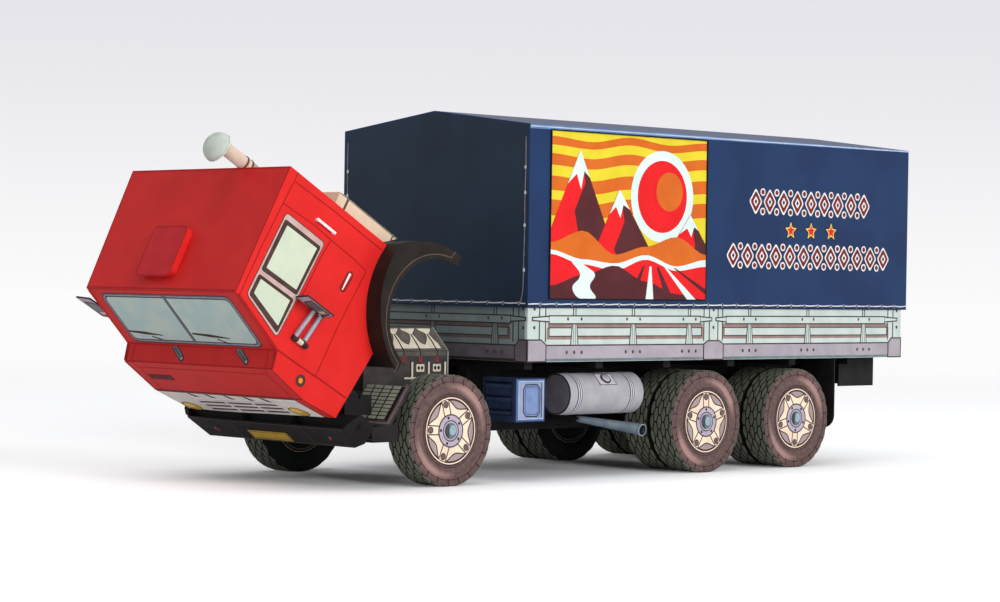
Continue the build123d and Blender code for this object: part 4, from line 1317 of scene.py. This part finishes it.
def draw_picture(target, face):
    """Sun over peaks, fields and a river, in flat poster colours."""
    a0, b0, a1, b1 = PICTURE

    def shape(outline, ink_name, layer):
        inside = clipped(outline, a0, b0, a1, b1)
        if len(inside) > 2:
            target.fill(face, inside, ink_name, layer)

    shape(rect(a0, b0, a1, b1), "art_yellow", 1)
    for low, high in ((93.6, 96.0), (88.0, 91.2), (81.0, 85.0), (74.0, 78.4)):
        swell = (high, high - 1.1, high + 0.9, high - 0.6, high + 0.7)
        under = (low, low - 0.8, low + 1.1, low - 0.4, low + 0.9)
        top = hill(a0, a1, 0, swell)[2:]
        bottom = hill(a0, a1, 0, under)[2:]
        shape(top + bottom[::-1], "art_orange", 2)
    shape(oval(78.5, 80.5, 13.2, 13.2, 48), "art_white", 3)
    shape(oval(78.5, 80.5, 10.4, 10.4, 48), "art_red", 4)
    shape(oval(81.5, 82.0, 5.6, 5.6, 36), "art_orange", 5)
    # Each peak: foot, tip, foot, and how far its white cap comes down
    peaks = (((27, 58), (44.5, 92.5), (62, 58), 9.5), ((47, 58), (60.5, 82.0), (79, 58), 7.0),
             ((74, 56), (90.5, 75.5), (106, 56), 5.5))
    for layer, (left, tip, right, cap) in enumerate(peaks):
        base = 6 + 3 * layer
        shape([left, tip, right], "art_red", base)
        shape([tip, right, (tip[0] + 2.5, 58), (tip[0] - 2.0, tip[1] - 17), (tip[0] + 2.2, tip[1] - 9)],
              "art_brown", base + 1)
        slope_left = (tip[0] - left[0]) / (tip[1] - left[1])
        slope_right = (right[0] - tip[0]) / (tip[1] - right[1])
        low_left = (tip[0] - cap * slope_left, tip[1] - cap)
        low_right = (tip[0] + cap * 0.8 * slope_right, tip[1] - cap * 0.8)
        jags = [(tip[0] + a, tip[1] - cap * down) for a, down in ((1.6, 0.62), (0.4, 1.15), (-1.4, 0.7))]
        shape([low_left, tip, low_right, *jags], "art_white", base + 2)
    shape(hill(a0, a1, b0, (66.5, 70.0, 63.5, 66.0, 69.0, 64.0)), "art_orange", 15)
    shape(hill(a0, a1, b0, (64.5, 62.0, 61.0, 63.6, 60.5, 62.6)), "art_white", 16)
    shape(hill(a0, a1, b0, (63.3, 60.6, 59.0, 62.3, 59.2, 60.6)), "art_red", 17)
    shape(hill(a0, a1, b0, (54.5, 57.6, 60.4, 56.0, 52.5, 51.0)), "art_brown", 18)
    for offset, width in ((0.0, 1.0), (5.0, 1.25), (10.5, 1.5), (16.5, 1.8), (23.5, 2.1)):
        furrow = [(70.5 + offset * 0.55, 60.5 - offset * 0.02), (71.2 + offset * 0.55, 60.5 - offset * 0.02),
                  (66.0 + offset * 1.55 + width, b0), (64.0 + offset * 1.55, b0)]
        shape(furrow, "art_white" if offset in (5.0, 16.5) else "art_brown", 19)
    river = [(40.6, 61.8), (46.0, 57.4), (41.0, 54.2), (44.0, b0), (52.5, b0), (47.8, 54.4), (51.8, 57.8),
             (43.2, 61.9)]
    shape(rounded(river, 3.0), "art_white", 20)
    target.line(face, rect(a0, b0, a1, b1), 0.34, "soot", 21, True)


# Each line of the ornament: its start and end along the tilt, its foot and its top
ORNAMENT_LINES = ((116.4, 174.3, 76.4, 84.6), (106.5, 184.4, 60.2, 68.2))
ORNAMENT_PITCH = 6.45
STAR_PLACES = (136.0, 145.6, 155.2)
STAR_HEIGHT = 72.1
# Each layer of a lozenge: its share of the full size, its ink and its layer; then those of a ring
LOZENGE_LAYERS = ((1.0, "white", 2), (0.80, "maroon", 3), (0.40, "white", 4), (0.2, "navy", 5))
RING_LAYERS = ((1.0, "white", 2), (0.62, "maroon", 3))
# Each layer of a star: the reach of its tips, its ink and its layer
STAR_LAYERS = ((3.4, "locker_dark", 2), (2.75, "lamp_pale", 3), (2.0, "art_orange", 4), (1.4, "art_red", 5))


def draw_ornament(target, face):
    """Rows of lozenges and rings with pale edges, and three stars between the rows."""
    for start, end, foot, top in ORNAMENT_LINES:
        count = round((end - start) / ORNAMENT_PITCH)
        pitch = (end - start) / count
        middle = (foot + top) / 2
        tall = (top - foot) / 2
        across = 0.47 * pitch
        first = start + pitch / 2
        for share, ink_name, layer in LOZENGE_LAYERS:
            half_a, half_b = across * share, tall * share
            lozenge = [(first - half_a, middle), (first, middle - half_b), (first + half_a, middle),
                       (first, middle + half_b)]
            lozenge = rounded(lozenge, 0.9 * share)
            repeat_in_rows(target, face, lozenge, ink_name, layer, (count, 1), (pitch, 0))
        for share, ink_name, layer in RING_LAYERS:
            for height in (foot + 1.2, top - 1.2):
                dot = oval(first + pitch / 2, height, 1.15 * share, 1.15 * share, 16)
                repeat_in_rows(target, face, dot, ink_name, layer, (count - 1, 1), (pitch, 0))
    for at in STAR_PLACES:
        for reach, ink_name, layer in STAR_LAYERS:
            target.fill(face, star(at, STAR_HEIGHT, reach, 0.46), ink_name, layer)


def draw_rope(target, face, start, end, height):
    """Lacing rope along a hem, with a loop at each eyelet."""
    target.fill(face, rect(start, TILT_HEM, end, TILT_HEM + 0.35), "navy_edge", 1)
    steps = max(2, round((end - start) / (ROPE_PITCH / 2)))
    run = [(start + (end - start) * i / steps, height + (0.08 if i % 2 else -0.06)) for i in range(steps + 1)]
    target.line(face, [(a, b - 0.16) for a, b in run], 0.5, "locker_dark", 2)
    target.line(face, run, 0.34, "rope", 3)
    count = int((end - start) / ROPE_PITCH)
    first = start + 4.7
    loop = rounded(rect(first - 0.36, height - 0.62, first + 0.36, height + 0.55), 0.3)
    knot = oval(first, height - 0.05, 0.2, 0.36, 10)
    for outline, ink_name, layer in ((loop, "rope_shade", 4), (knot, "locker_dark", 5)):
        repeat_in_rows(target, face, outline, ink_name, layer, (count, 1), (ROPE_PITCH, 0))


def make_tilt_prints():
    target = Print("tilt_print", "chassis", "card_navy")
    for face in side_face(TILT_FACE).both():
        draw_picture(target, face)
        draw_ornament(target, face)
        draw_rope(target, face, TILT_FRONT + 0.2, TILT_BACK - 0.2, ROPE_HEIGHT)
        # Pale strip and line under the eave: painted highlight on the tilt's rounded fold
        eave = [(TILT_FRONT + 0.1, TILT_EAVE - 1.25), (TILT_BACK - 0.1, TILT_EAVE - 0.55),
                (TILT_BACK - 0.1, TILT_EAVE - 0.02), (TILT_FRONT + 0.1, TILT_EAVE - 0.02)]
        target.fill(face, eave, "navy_eave_highlight", 1)
        target.line(face, [(TILT_FRONT + 0.1, TILT_EAVE - 0.6), (TILT_BACK - 0.1, TILT_EAVE - 0.32)], 0.3,
                    "eave_pale", 2)
    for y, way in ((TILT_FRONT, -1), (TILT_BACK, 1)):
        face = cross_face(y, way)
        draw_rope(target, face, -TILT_FACE + 0.9, TILT_FACE - 0.9, ROPE_HEIGHT + 0.15)
        for side in (-1, 1):
            rope = [(side * a, b) for a, b in END_ROPE]
            target.line(face, rope, 0.62, "locker_dark", 2)
            target.line(face, rope, 0.36, "rope_shade", 3)
            for height in END_KNOTS:
                target.fill(face, oval(side * 37.55, height, 0.42, 0.55, 12), "rope", 4)
    target.finish()


# Lockers, tanks and tail pipe

LOCKER_X = (24.0, 37.0)
LOCKER_Y = (22.9, 34.3)
LOCKER_Z = (16.7, 28.8)
LOCKER_RECESS = 0.3
SLAT_PITCH = 3.75


def draw_locker(target, side, front, door):
    """Louvred front, and a side with a pale door in its recess."""
    whole = rect(LOCKER_X[0], LOCKER_Z[0], LOCKER_X[1], LOCKER_Z[1])
    target.fill(front, inset(whole, 0.1), "locker", 1)
    target.line(front, rect(24.9, 18.6, 35.6, 27.6), 0.28, "locker_dark", 3, True)
    for low, high, ink_name, layer in ((18.7, 19.5, "locker_mid", 2), (19.65, 20.25, "locker_dark", 3)):
        repeat_in_rows(target, front, rect(25.2, low, 35.3, high), ink_name, layer, (1, 3), (0, SLAT_PITCH))
    target.line(front, [(36.4, 17.0), (36.4, 28.6)], 0.24, "locker_mid", 2)
    outer = rect(LOCKER_Y[0] + 0.05, LOCKER_Z[0] + 0.05, LOCKER_Y[1] - 0.05, LOCKER_Z[1] - 0.05)
    frame_inside = rect(LOCKER_Y[0] + 1.1, LOCKER_Z[0] + 0.75, LOCKER_Y[1] - 0.6, LOCKER_Z[1] - 0.75)
    target.ring(side, outer, frame_inside, "locker_edge", 1)
    target.line(side, inset(outer, 0.12), 0.26, "locker", 2, True)
    target.ring(side, frame_inside, inset(outer, 1.14), "locker_door", 1)
    target.line(side, inset(frame_inside, 0.1), 0.2, "eave_pale", 2, True)
    target.fill(door, inset(outer, 1.1), "locker_door", 1)
    plate = [(27.0, 27.0), (31.5, 27.0), (32.6, 25.8), (32.6, 19.2), (31.4, 18.1), (27.2, 18.3), (26.2, 19.4),
             (26.2, 25.8)]
    target.edged(door, plate, "locker_pale", 2, 0.3, "locker_dark", 3)
    target.line(door, inset(plate, 0.62), 0.16, "locker", 3, True)


TANK_X = 31.2
TANK_Z = 23.9
TANK_RADIUS = 5.9
TANK_ENDS = (44.3, 74.3)
TANK_BANDS = (48.2, 69.5)
FILLER_Y = 59.9
FILLER_LEAN = 45.0


def draw_tank(target, outward):
    """Rolled drum with a dark printed end, two strap bands of double lines and a filler on its plate."""
    start, end = TANK_ENDS

    def place(x, y, z):
        return row(outward * x, y, z)

    profile = [(0.0, 0.0, "tank_end"), (0.0, TANK_RADIUS - 0.5, "tank_line"),
               (0.0, TANK_RADIUS - 0.1, "tank_line"), (0.12, TANK_RADIUS, "tank")]
    for band in TANK_BANDS:
        at = band - start
        profile += [(at - 0.9, TANK_RADIUS, "tank_line"), (at - 0.6, TANK_RADIUS + 0.08, "tank_light"),
                    (at - 0.15, TANK_RADIUS + 0.1, "tank_line"), (at + 0.15, TANK_RADIUS + 0.1, "tank_light"),
                    (at + 0.6, TANK_RADIUS + 0.08, "tank_line"), (at + 0.9, TANK_RADIUS, "tank")]
    length = end - start
    profile += [(length - 0.12, TANK_RADIUS, "tank_line"), (length, TANK_RADIUS - 0.1, "tank_line"),
                (length, 0.0, "tank_line")]
    target.round_solid(place, (TANK_X, start, TANK_Z), (0, 1, 0), profile, 72)
    lean = math.radians(FILLER_LEAN)
    way = (math.sin(lean), 0.0, math.cos(lean))
    foot = tuple(c + w * TANK_RADIUS for c, w in zip((TANK_X, FILLER_Y, TANK_Z), way))
    target.round_solid(place, tuple(f - w * 0.6 for f, w in zip(foot, way)), way, [
        (0.0, 0.0, "tank_line"), (0.0, 1.7, "tank_line"), (1.1, 1.7, "tank_line"), (1.1, 1.35, "tank_light"),
        (1.35, 1.3, "tank"), (1.45, 0.0, "tank")], 28)
    plate = face_through(place, foot, (foot[0], foot[1] + 1, foot[2]),
                         (foot[0] - way[2], foot[1], foot[2] + way[0]), way)
    square = rect(-3.4, -2.3, 3.4, 2.0)
    target.prism(plate, square, "tank_light", -0.5, 0.06)
    target.line(plate, inset(square, 0.1), 0.2, "tank_line", 4, True)


PIPE_START = (29.6, 55.0, 16.6)
PIPE_MOUTH = (31.5, 79.8, 12.9)
PIPE_RADII = (0.9, 1.8)
# Distance of the rail, which the pipe's hanger reaches, from the truck's middle
RAIL_SIDE = 13.4
# Place of the bend ahead of the mouth, and how far it turns outwards
PIPE_BEND = 1.75
PIPE_TURN = math.radians(-80)


def draw_pipe(target):
    """Tapered tail pipe, hollow and black at its mouth."""
    run = tuple(m - s for s, m in zip(PIPE_START, PIPE_MOUTH))
    length = math.hypot(*run)
    foot, mouth = PIPE_RADII
    target.round_solid(row, PIPE_START, run, [
        (0.0, 0.0, "pipe"), (0.0, foot, "pipe"), (length - 2 * PIPE_BEND, mouth - 0.15, "pipe"),
        (length - 0.3, mouth, "pipe_light"), (length, mouth, "pipe_light"), (length, mouth - 0.3, "soot"),
        (length - 0.8, mouth - 0.4, "soot"), (length - 0.8, 0.0, "soot")], 32)
    axis = Vector(run) / length
    bend = row(*PIPE_START) + axis * ((length - PIPE_BEND) * MM)
    for vert in target.mesh.verts:
        beyond = vert.co - bend
        if beyond.dot(axis) > 0:
            vert.co = bend + Matrix.Rotation(PIPE_TURN, 3, "Z") @ beyond
    x, y, z = PIPE_START
    hanger = face_through(row, (x, y + 1, z), (x, y + 2, z), (x - 1, y + 1, z), (0, 0, 1))
    target.prism(hanger, rect(-1.0, -0.4, 1.0, x - RAIL_SIDE), "black", -0.4, 0.4)


def make_chassis_boxes():
    lockers = Print("locker_print", "chassis", "card_blue")
    sides = side_face(LOCKER_X[1]), cross_face(LOCKER_Y[0], -1), side_face(LOCKER_X[1] - LOCKER_RECESS)
    draw_locker(lockers, *sides)
    draw_locker(lockers, *(face.mirrored() for face in sides))
    lockers.finish()
    for name, outward in (("left", 1), ("right", -1)):
        tank = Print(f"fuel_tank_round_{name}", "chassis", "card_grey")
        draw_tank(tank, outward)
        tank.finish(f"fuel_tank_{name}")
    pipe = Print("exhaust_round", "chassis", "card_blue")
    draw_pipe(pipe)
    pipe.finish("exhaust")


# Engine

BANK_TOP = (6.6, 42.3)
BANK_FOOT = (13.3, 35.8)
ENGINE_ENDS = (-12.0, 19.5)
PLUG_PLACES = (2.7, 8.9, 15.1)
SOCKET_PLACES = (8.9, 15.1)
BAR_PLACES = (5.85, 12.05, 18.2)
# Outline of a lens, as distance past its plug and down the slope
LENS = [(-2.6, 0.5), (-2.2, 1.5), (-0.8, 2.3), (-0.3, 2.9), (-0.8, 4.3), (-1.9, 5.8), (-3.0, 6.9),
        (-3.9, 6.4), (-4.6, 5.4), (-4.8, 4.1), (-5.2, 2.8), (-4.5, 2.3), (-3.5, 1.2)]
# Grey end of the slope, whose edge follows the next lens
LENS_END = [(17.8, 0.3), (17.8, 1.2), (16.8, 2.3), (16.1, 2.8), (16.5, 4.1), (16.7, 5.4), (17.4, 6.4),
            (17.3, 8.4), (19.3, 8.4), (19.3, 0.3)]


def draw_bank(target, face, length):
    """Sloping valve side: cream webs between grey lenses, with a lead to each plug."""
    start, end = ENGINE_ENDS
    target.fill(face, rect(start + 0.3, 0.3, end - 0.2, length - 0.8), "engine_cream", 1)
    target.fill(face, rect(start + 0.3, length - 0.8, end - 0.2, length - 0.1), "engine_grey", 1)
    target.line(face, [(start + 0.3, length - 0.8), (end - 0.2, length - 0.8)], 0.2, "engine", 2)
    for at in PLUG_PLACES:
        lens = [(at + a, down) for a, down in LENS]
        target.edged(face, lens, "engine_grey", 2, 0.22, "engine", 3)
        target.line(face, [(at + 0.3, 2.9), (at + 0.3, 5.6), (at, length - 0.1)], 0.42, "soot", 4)
    target.edged(face, LENS_END, "engine_grey", 2, 0.22, "engine", 3)
    target.line(face, [(start + 0.4, 0.5), (end - 0.4, 0.5)], 0.4, "engine_grey", 3)
    target.line(face, [(end - 0.35, 0.3), (end - 0.35, length - 0.1)], 0.3, "sage_dark", 6)


def draw_engine_side(target, face):
    """Plug sockets in white frames between white bars, under a grey rail."""
    start, end = ENGINE_ENDS
    target.fill(face, rect(start + 0.1, 25.2, end - 0.1, 35.7), "engine", 1)
    target.fill(face, rect(start + 0.3, 34.4, end - 0.3, 35.6), "engine_grey", 2)
    target.fill(face, rect(PLUG_PLACES[0] + 0.3, 28.0, end - 0.3, 28.5), "engine_cream", 2)
    for at in PLUG_PLACES:
        target.line(face, [(at, 35.6), (at, 32.0)], 0.34, "soot", 3)
        target.fill(face, rect(at - 0.55, 32.6, at + 0.55, 34.3), "plug_red", 4)
    for at in SOCKET_PLACES:
        target.fill(face, rounded(rect(at - 1.5, 30.0, at + 1.45, 32.1), 0.3), "engine_cream", 3)
        for side in (-0.65, 0.6):
            target.fill(face, oval(at + side, 31.05, 0.45, 0.55, 12), "soot", 5)
    for bar in BAR_PLACES:
        target.fill(face, rect(bar - 0.3, 28.5, bar + 0.35, 32.7), "engine_cream", 3)
        target.line(face, [(bar - 0.6, 28.7), (bar - 0.6, 33.4)], 0.22, "soot", 3)
    target.fill(face, rect(end - 0.55, 28.5, end - 0.1, 35.6), "sage_dark", 4)
    target.line(face, [(end - 0.7, 28.5), (end - 0.7, 35.6)], 0.22, "soot", 5)


def make_engine_prints():
    target = Print("engine_print", "chassis", "card_grey")
    down, length = slope(BANK_TOP, BANK_FOOT)
    bank = face_through(row, (BANK_TOP[0], 0, BANK_TOP[1]), (BANK_TOP[0], 1, BANK_TOP[1]),
                        (BANK_TOP[0] + down[0], 0, BANK_TOP[1] + down[1]), (1, 0, 1))
    for face in bank.both():
        draw_bank(target, face, length)
    for face in side_face(BANK_FOOT[0]).both():
        draw_engine_side(target, face)
    top = face_through(row, (0, 0, BANK_TOP[1]), (1, 0, BANK_TOP[1]), (0, 1, BANK_TOP[1]), (0, 0, 1))
    rib = rect(-5.6, -11.0, 5.6, -9.9)
    repeat_in_rows(target, top, rib, "engine_grey", 2, (1, 13), (0, 2.3))
    front = cross_face(ENGINE_ENDS[0], -1)
    for radius, ink_name, layer in ((4.6, "engine_grey", 1), (4.0, "engine", 2), (1.6, "engine_grey", 3)):
        target.fill(front, oval(0, 33.0, radius, radius, 36), ink_name, layer)
    target.finish()


# Steps and bumper

STEP_FOOT = (-21.6, 16.8)
STEP_HEAD = (-14.2, 27.2)
STEP_X = (17.5, 35.3)
STEP_BOX_Y = -27.6
# Each line of a step: distances from its foot, its outer edge and its head, its width and its ink
STEP_LINES = ((1.35, 1.95, 0.2, 0.34, "step_red"), (0.35, 0.3, 0.1, 0.22, "tread"))


def draw_step(target, face, box):
    """Tread plate: rows of tiles in a pale frame; dark box under it with thin lines."""
    length = math.dist(STEP_FOOT, STEP_HEAD)
    inner, outer = STEP_X
    target.fill(face, rect(inner + 0.05, 0.1, outer - 0.05, length - 0.05), "step_frame", 1)
    target.fill(face, rect(inner + 0.05, 1.6, outer - 2.2, length - 0.25), "tread", 2)
    tile = rect(inner + 0.35, 2.0, inner + 3.45, 2.92)
    repeat_in_rows(target, face, tile, "tile", 3, (4, 9), (3.62, 1.2))
    for foot, gap, head, width, ink_name in STEP_LINES:
        run = [(inner + 0.05, foot), (outer - gap, foot), (outer - gap, length - head)]
        target.line(face, run, width, ink_name, 3)
    target.fill(box, rect(inner + 0.1, 12.7, outer - 0.1, 16.7), "step_side", 1)
    for height in (13.4, 15.9):
        target.line(box, [(inner + 0.4, height), (outer - 0.4, height)], 0.16, "guard_line", 2)


BUMPER_FOOT = (-29.8, 11.1)
BUMPER_EDGE = (-36.2, 16.2)
NUMBER_PLATE = rect(-10.4, 0.4, 6.7, 4.6)


def draw_bumper(target, face, length):
    """Dark bumper face with two tow marks and a blank number plate."""
    target.line(face, [(-30.9, 0.25), (30.9, 0.25)], 0.2, "guard_line", 1)
    target.line(face, [(-32.7, length - 0.2), (32.7, length - 0.2)], 0.16, "guard_line", 1)
    target.fill(face, NUMBER_PLATE, "soot", 1)
    target.fill(face, inset(NUMBER_PLATE, 0.22), "plate", 2)
    target.line(face, inset(NUMBER_PLATE, 0.75), 0.14, "outline", 3, True)
    target.pair(face, (24.9, 4.1), (23.6, 2.9), 0.7, "lens_red", 1)
    target.pair(face, (24.7, 4.3), (24.3, 4.0), 0.3, "arm_mauve", 2)
    target.pair(face, (15.2, 0.5), (15.2, length - 0.4), 0.14, "guard_line", 1)


# Outline of a dark sheet behind the bumper's upper edge, which paints the deep shade under the cab
SHADE_SHEET_Y = -33.0
SHADE_SHEET = [(-31.0, 13.7), (31.0, 13.7), (36.9, 16.8), (36.7, 20.0), (-38.3, 20.0), (-38.8, 18.4), (-38.2, 16.8)]


def make_shade_sheet(target):
    """Dark sheet between the bumper and the grille's foot: painted shade where the cab's underside lies in
    shadow.
    """
    target.prism(cross_face(SHADE_SHEET_Y, -1), SHADE_SHEET, "soot", -0.5, 0.0)


def make_front_prints():
    target = Print("front_print", "chassis", "card_black")
    make_shade_sheet(target)
    plate = sloped_face(STEP_FOOT, STEP_HEAD, (0, -1, 1))
    for face, box in zip(plate.both(), cross_face(STEP_BOX_Y, -1).both()):
        draw_step(target, face, box)
    bumper = sloped_face(BUMPER_FOOT, BUMPER_EDGE, (0, -1, -1))
    draw_bumper(target, bumper, math.dist(BUMPER_FOOT, BUMPER_EDGE))
    target.finish()


# Small pieces of the cab

GUARD_FACE = 39.0
# Middle and radius of the mudguard's opening, and the ends of its line, behind the axle and above the ground
OPENING = (-0.13, 18.57, 16.04)
GUARD_TIPS = ((19.0, 21.6), (-19.4, 23.6))


def make_cab_fittings():
    target = Print("fitting_print", "cab", "card_black")
    guard = face_through(cab_row, (GUARD_FACE, CAB_BACK, 0), (GUARD_FACE, CAB_BACK - 1, 0),
                         (GUARD_FACE, CAB_BACK, 1), (1, 0, 0))
    y, z, radius = OPENING
    run = [GUARD_TIPS[0]] + arc(y, z, radius + 1.25, 12, 163, 40) + [GUARD_TIPS[1]]
    for face in guard.both():
        target.line(face, run, 0.24, "guard_line", 1)
    target.finish()
    for name, outward in (("left", 1), ("right", -1)):
        make_mirror(name, outward)
    make_snorkel_round()
    make_air_box_print()


# Of each mirror: distance of its plate ahead of the back wall, height of its top, way its arms run
MIRRORS = {"left": (27.3, 57.8, 1), "right": (37.6, 72.0, -1)}
# Corners of the plate and of its dark panel, out from the wall and up from the plate's top
PLATE = [(0.4, 0.7), (6.0, 1.4), (5.9, -8.8), (0.3, -10.2)]
PLATE_PANEL = [(1.4, -1.7), (4.9, -1.0), (5.1, -7.9), (0.6, -9.4), (0.5, -6.6)]
# Ends of the two arms and of the post, forward of the plate and up from its top
MIRROR_ARMS = (((0.2, -5.9), (8.6, -4.4)), ((0.2, -8.6), (8.0, -7.6)))
ARM_HALF = 0.58
POST = (9.0, -9.2)
POST_RADIUS = 0.72
POST_BANDS = ((0.0, "outline"), (1.9, "engine_cream"), (3.7, "outline"), (5.4, "outline"))


def side_x(forward):
    return CAB_HALF_BACK + SIDE_TAPER * forward


def make_mirror(name, outward):
    """Mirror plate with its dark panel and clamp, on two arms that run along the side to a post."""
    target = Print(f"mirror_card_{name}", "cab", "card_grey")
    forward, top, way = MIRRORS[name]
    wall = side_x(forward)

    def place(x, ahead, height):
        return cab_row(outward * x, ahead, height)

    front = face_through(place, (wall, forward, top), (wall + 1, forward, top), (wall, forward, top + 1),
                         (0, 1, 0))
    target.prism(front, PLATE, "outline", -0.4, 0.0)
    target.fill(front, inset(PLATE, 0.25), "arm_mauve", 1)
    target.edged(front, PLATE_PANEL, "mirror_glass", 2, 0.4, "outline", 3)
    target.fill(front, [(2.0, -7.6), (4.0, -7.4), (4.2, -6.3), (1.9, -6.4)], "engine_cream", 4)
    target.fill(front, oval(1.2, -7.9, 1.1, 1.1, 18), "outline", 5)
    target.fill(front, oval(1.2, -7.9, 0.5, 0.5, 12), "engine_cream", 6)
    back = Face(front.point(0, 0, -0.4), front.along, front.up, -front.outward)
    target.fill(back, inset(PLATE, 0.5), "eave_pale", 1)
    step = forward + way
    beside = face_through(place, (wall, forward, top), (side_x(step), step, top), (wall, forward, top + 1),
                          (1, 0, 0))
    for (a0, b0), (a1, b1) in MIRROR_ARMS:
        arm = [(a0, b0 - ARM_HALF), (a1, b1 - ARM_HALF), (a1, b1 + ARM_HALF), (a0, b0 + ARM_HALF)]
        target.prism(beside, arm, "arm_mauve", 0.5, 1.3)
        target.line(beside.raised(1.3), [(a0, b0 - 0.5), (a1, b1 - 0.5)], 0.16, "outline", 1)
    ahead, low = POST
    foot = forward + way * ahead
    profile = [(0.0, 0.0, "outline")] + [(at, POST_RADIUS, ink_name) for at, ink_name in POST_BANDS]
    profile.append((POST_BANDS[-1][0], 0.0, "outline"))
    target.round_solid(place, (side_x(foot) + 0.7, foot, top + low), (0, 0, 1), profile, 20)
    target.finish(f"mirror_{name}")


SNORKEL_X = 10.9
SNORKEL_STAND = 2.6
SNORKEL_RADIUS = 1.85
SNORKEL_FOOT = 57.7
SNORKEL_HEAD = 85.0
SNORKEL_RINGS = (74.2, 76.0)
CAP_RADIUS = 4.2
CAP_BAND = 0.5
CAP_DOME = 3.5
CAP_SHIFT = 1.1


def make_snorkel_round():
    """Smooth intake pipe with two dark rings and a pale domed cap."""
    target = Print("snorkel_round", "cab", "card_black")
    r = SNORKEL_RADIUS
    profile = [(0.0, 0.0, "bone"), (0.0, r, "bone")]
    for ring in SNORKEL_RINGS:
        at = ring - SNORKEL_FOOT
        profile += [(at, r, "beige_line"), (at + 0.02, r + 0.22, "beige_line"),
                    (at + 0.5, r + 0.22, "beige_line"), (at + 0.52, r, "bone")]
    head = SNORKEL_HEAD - SNORKEL_FOOT
    profile += [(head + 0.4, r, "bone"), (head + 0.4, 0.0, "bone")]
    target.round_solid(cab_row, (SNORKEL_X, -SNORKEL_STAND, SNORKEL_FOOT), (0, 0, 1), profile, 40)
    c = CAP_RADIUS
    cap = [(0.0, 0.0, "sage_dark"), (0.0, c * 0.98, "sage_light"), (0.1, c, "sage_light"),
           (CAP_BAND - 0.12, c, "sage_dark"), (CAP_BAND, c * 0.985, "sage")]
    for step in range(1, 9):
        angle = math.radians(90.0 * step / 8)
        cap.append((CAP_BAND + CAP_DOME * math.sin(angle), c * 0.985 * math.cos(angle), "sage"))
    target.round_solid(cab_row, (SNORKEL_X, CAP_SHIFT - SNORKEL_STAND, SNORKEL_HEAD), (0, 0, 1), cap, 40)
    target.finish("snorkel")


AIR_BOX_HALF = 30.0
AIR_BOX_DEPTH = 5.2
# Half width of the notch over the engine tunnel
AIR_BOX_NOTCH = 17.4


def make_air_box_print():
    """Dividing lines round the air box."""
    target = Print("air_box_print", "cab", "card_beige")
    rear = -AIR_BOX_DEPTH
    back = face_through(cab_row, (0, rear, 0), (1, rear, 0), (0, rear, 1), (0, -1, 0))
    wall = face_through(cab_row, (AIR_BOX_HALF, 0, 0), (AIR_BOX_HALF, -1, 0), (AIR_BOX_HALF, 0, 1), (1, 0, 0))
    half = AIR_BOX_HALF - 0.1
    for start, end, height, width in ((-half, half, 54.4, 0.75), (-half, -AIR_BOX_NOTCH, 36.2, 0.45),
                                      (AIR_BOX_NOTCH, half, 36.2, 0.45)):
        target.line(back, [(start, height), (end, height)], width, "beige_line", 2)
    for face in wall.both():
        for height, width in ((54.4, 0.75), (36.2, 0.45)):
            target.line(face, [(0.1, height), (AIR_BOX_DEPTH - 0.1, height)], width, "beige_line", 2)
        target.line(face, [(AIR_BOX_DEPTH - 0.2, 34.6), (AIR_BOX_DEPTH - 0.2, 57.4)], 0.2, "beige_line", 3)
    repeat_in_rows(target, back, rect(-24.0, 47.6, 24.0, 48.2), "beige_line", 2, (1, 5), (0, 1.2))
    target.line(back, rect(-26.0, 46.6, 26.0, 54.0), 0.24, "beige_line", 2, True)
    target.finish()


# Finishes of the card nodes that show as they are
NODE_INKS = {
    "red": ("cab_side_left", "cab_side_right", "cab_back", "roof_hatch"),
    # The roof, windscreen and front take a darker copy of the red, which paints their shade
    "red_shaded": ("cab_roof", "cab_windscreen", "cab_front"),
    "black": ("frame_rails", "backbone", "bumper", "step_left", "step_right", "cab_floor", "mud_flaps",
              "hinge_arms", "underrun", "front_axle", "mid_axle", "rear_axle"),
    "soot": ("bed_floor",),
    "guard": ("mudguard_left", "mudguard_right"),
    "engine": ("engine",),
    "tank": ("fuel_tank_left", "fuel_tank_right"),
    "arm_mauve": ("mirror_left", "mirror_right"),
    "handle_pale": ("grab_bars",),
    "beige": ("air_box",),
    "bone": ("snorkel",),
    "locker": ("locker_left", "locker_right"),
    "pipe": ("exhaust",),
    "mint": ("side_board_left", "side_board_right", "tailboard"),
    # The headboard takes a darker copy of the mint, which paints the shade of the cab
    "mint_shade": ("headboard",),
    "navy": ("tilt_wrap",),
    # The tilt's ends take a darker copy of the navy, which paints their shade
    "navy_shaded_ends": ("tilt_front", "tilt_rear"),
    "tread": tuple(f"{axle}_tyre_{side}" for axle in ("front", "mid", "rear") for side in ("left", "right")),
    "cream": tuple(f"{axle}_rim_{side}" for axle in ("front", "mid", "rear") for side in ("left", "right")),
}


def finish_nodes():
    for ink_name, names in NODE_INKS.items():
        for name in names:
            node = frame["nodes"][name]
            if not node.material_slots:
                node.data.materials.append(ink(ink_name))
            for slot in node.material_slots:
                slot.material = ink(ink_name)


bpy.context.scene.view_settings.view_transform = "Standard"
make_camera()
make_floor()
make_sky()
make_lamps()
finish_nodes()
make_wheels()
make_cab_prints()
make_cab_fittings()
make_board_prints()
make_tilt_prints()
make_chassis_boxes()
make_engine_prints()
make_front_prints()
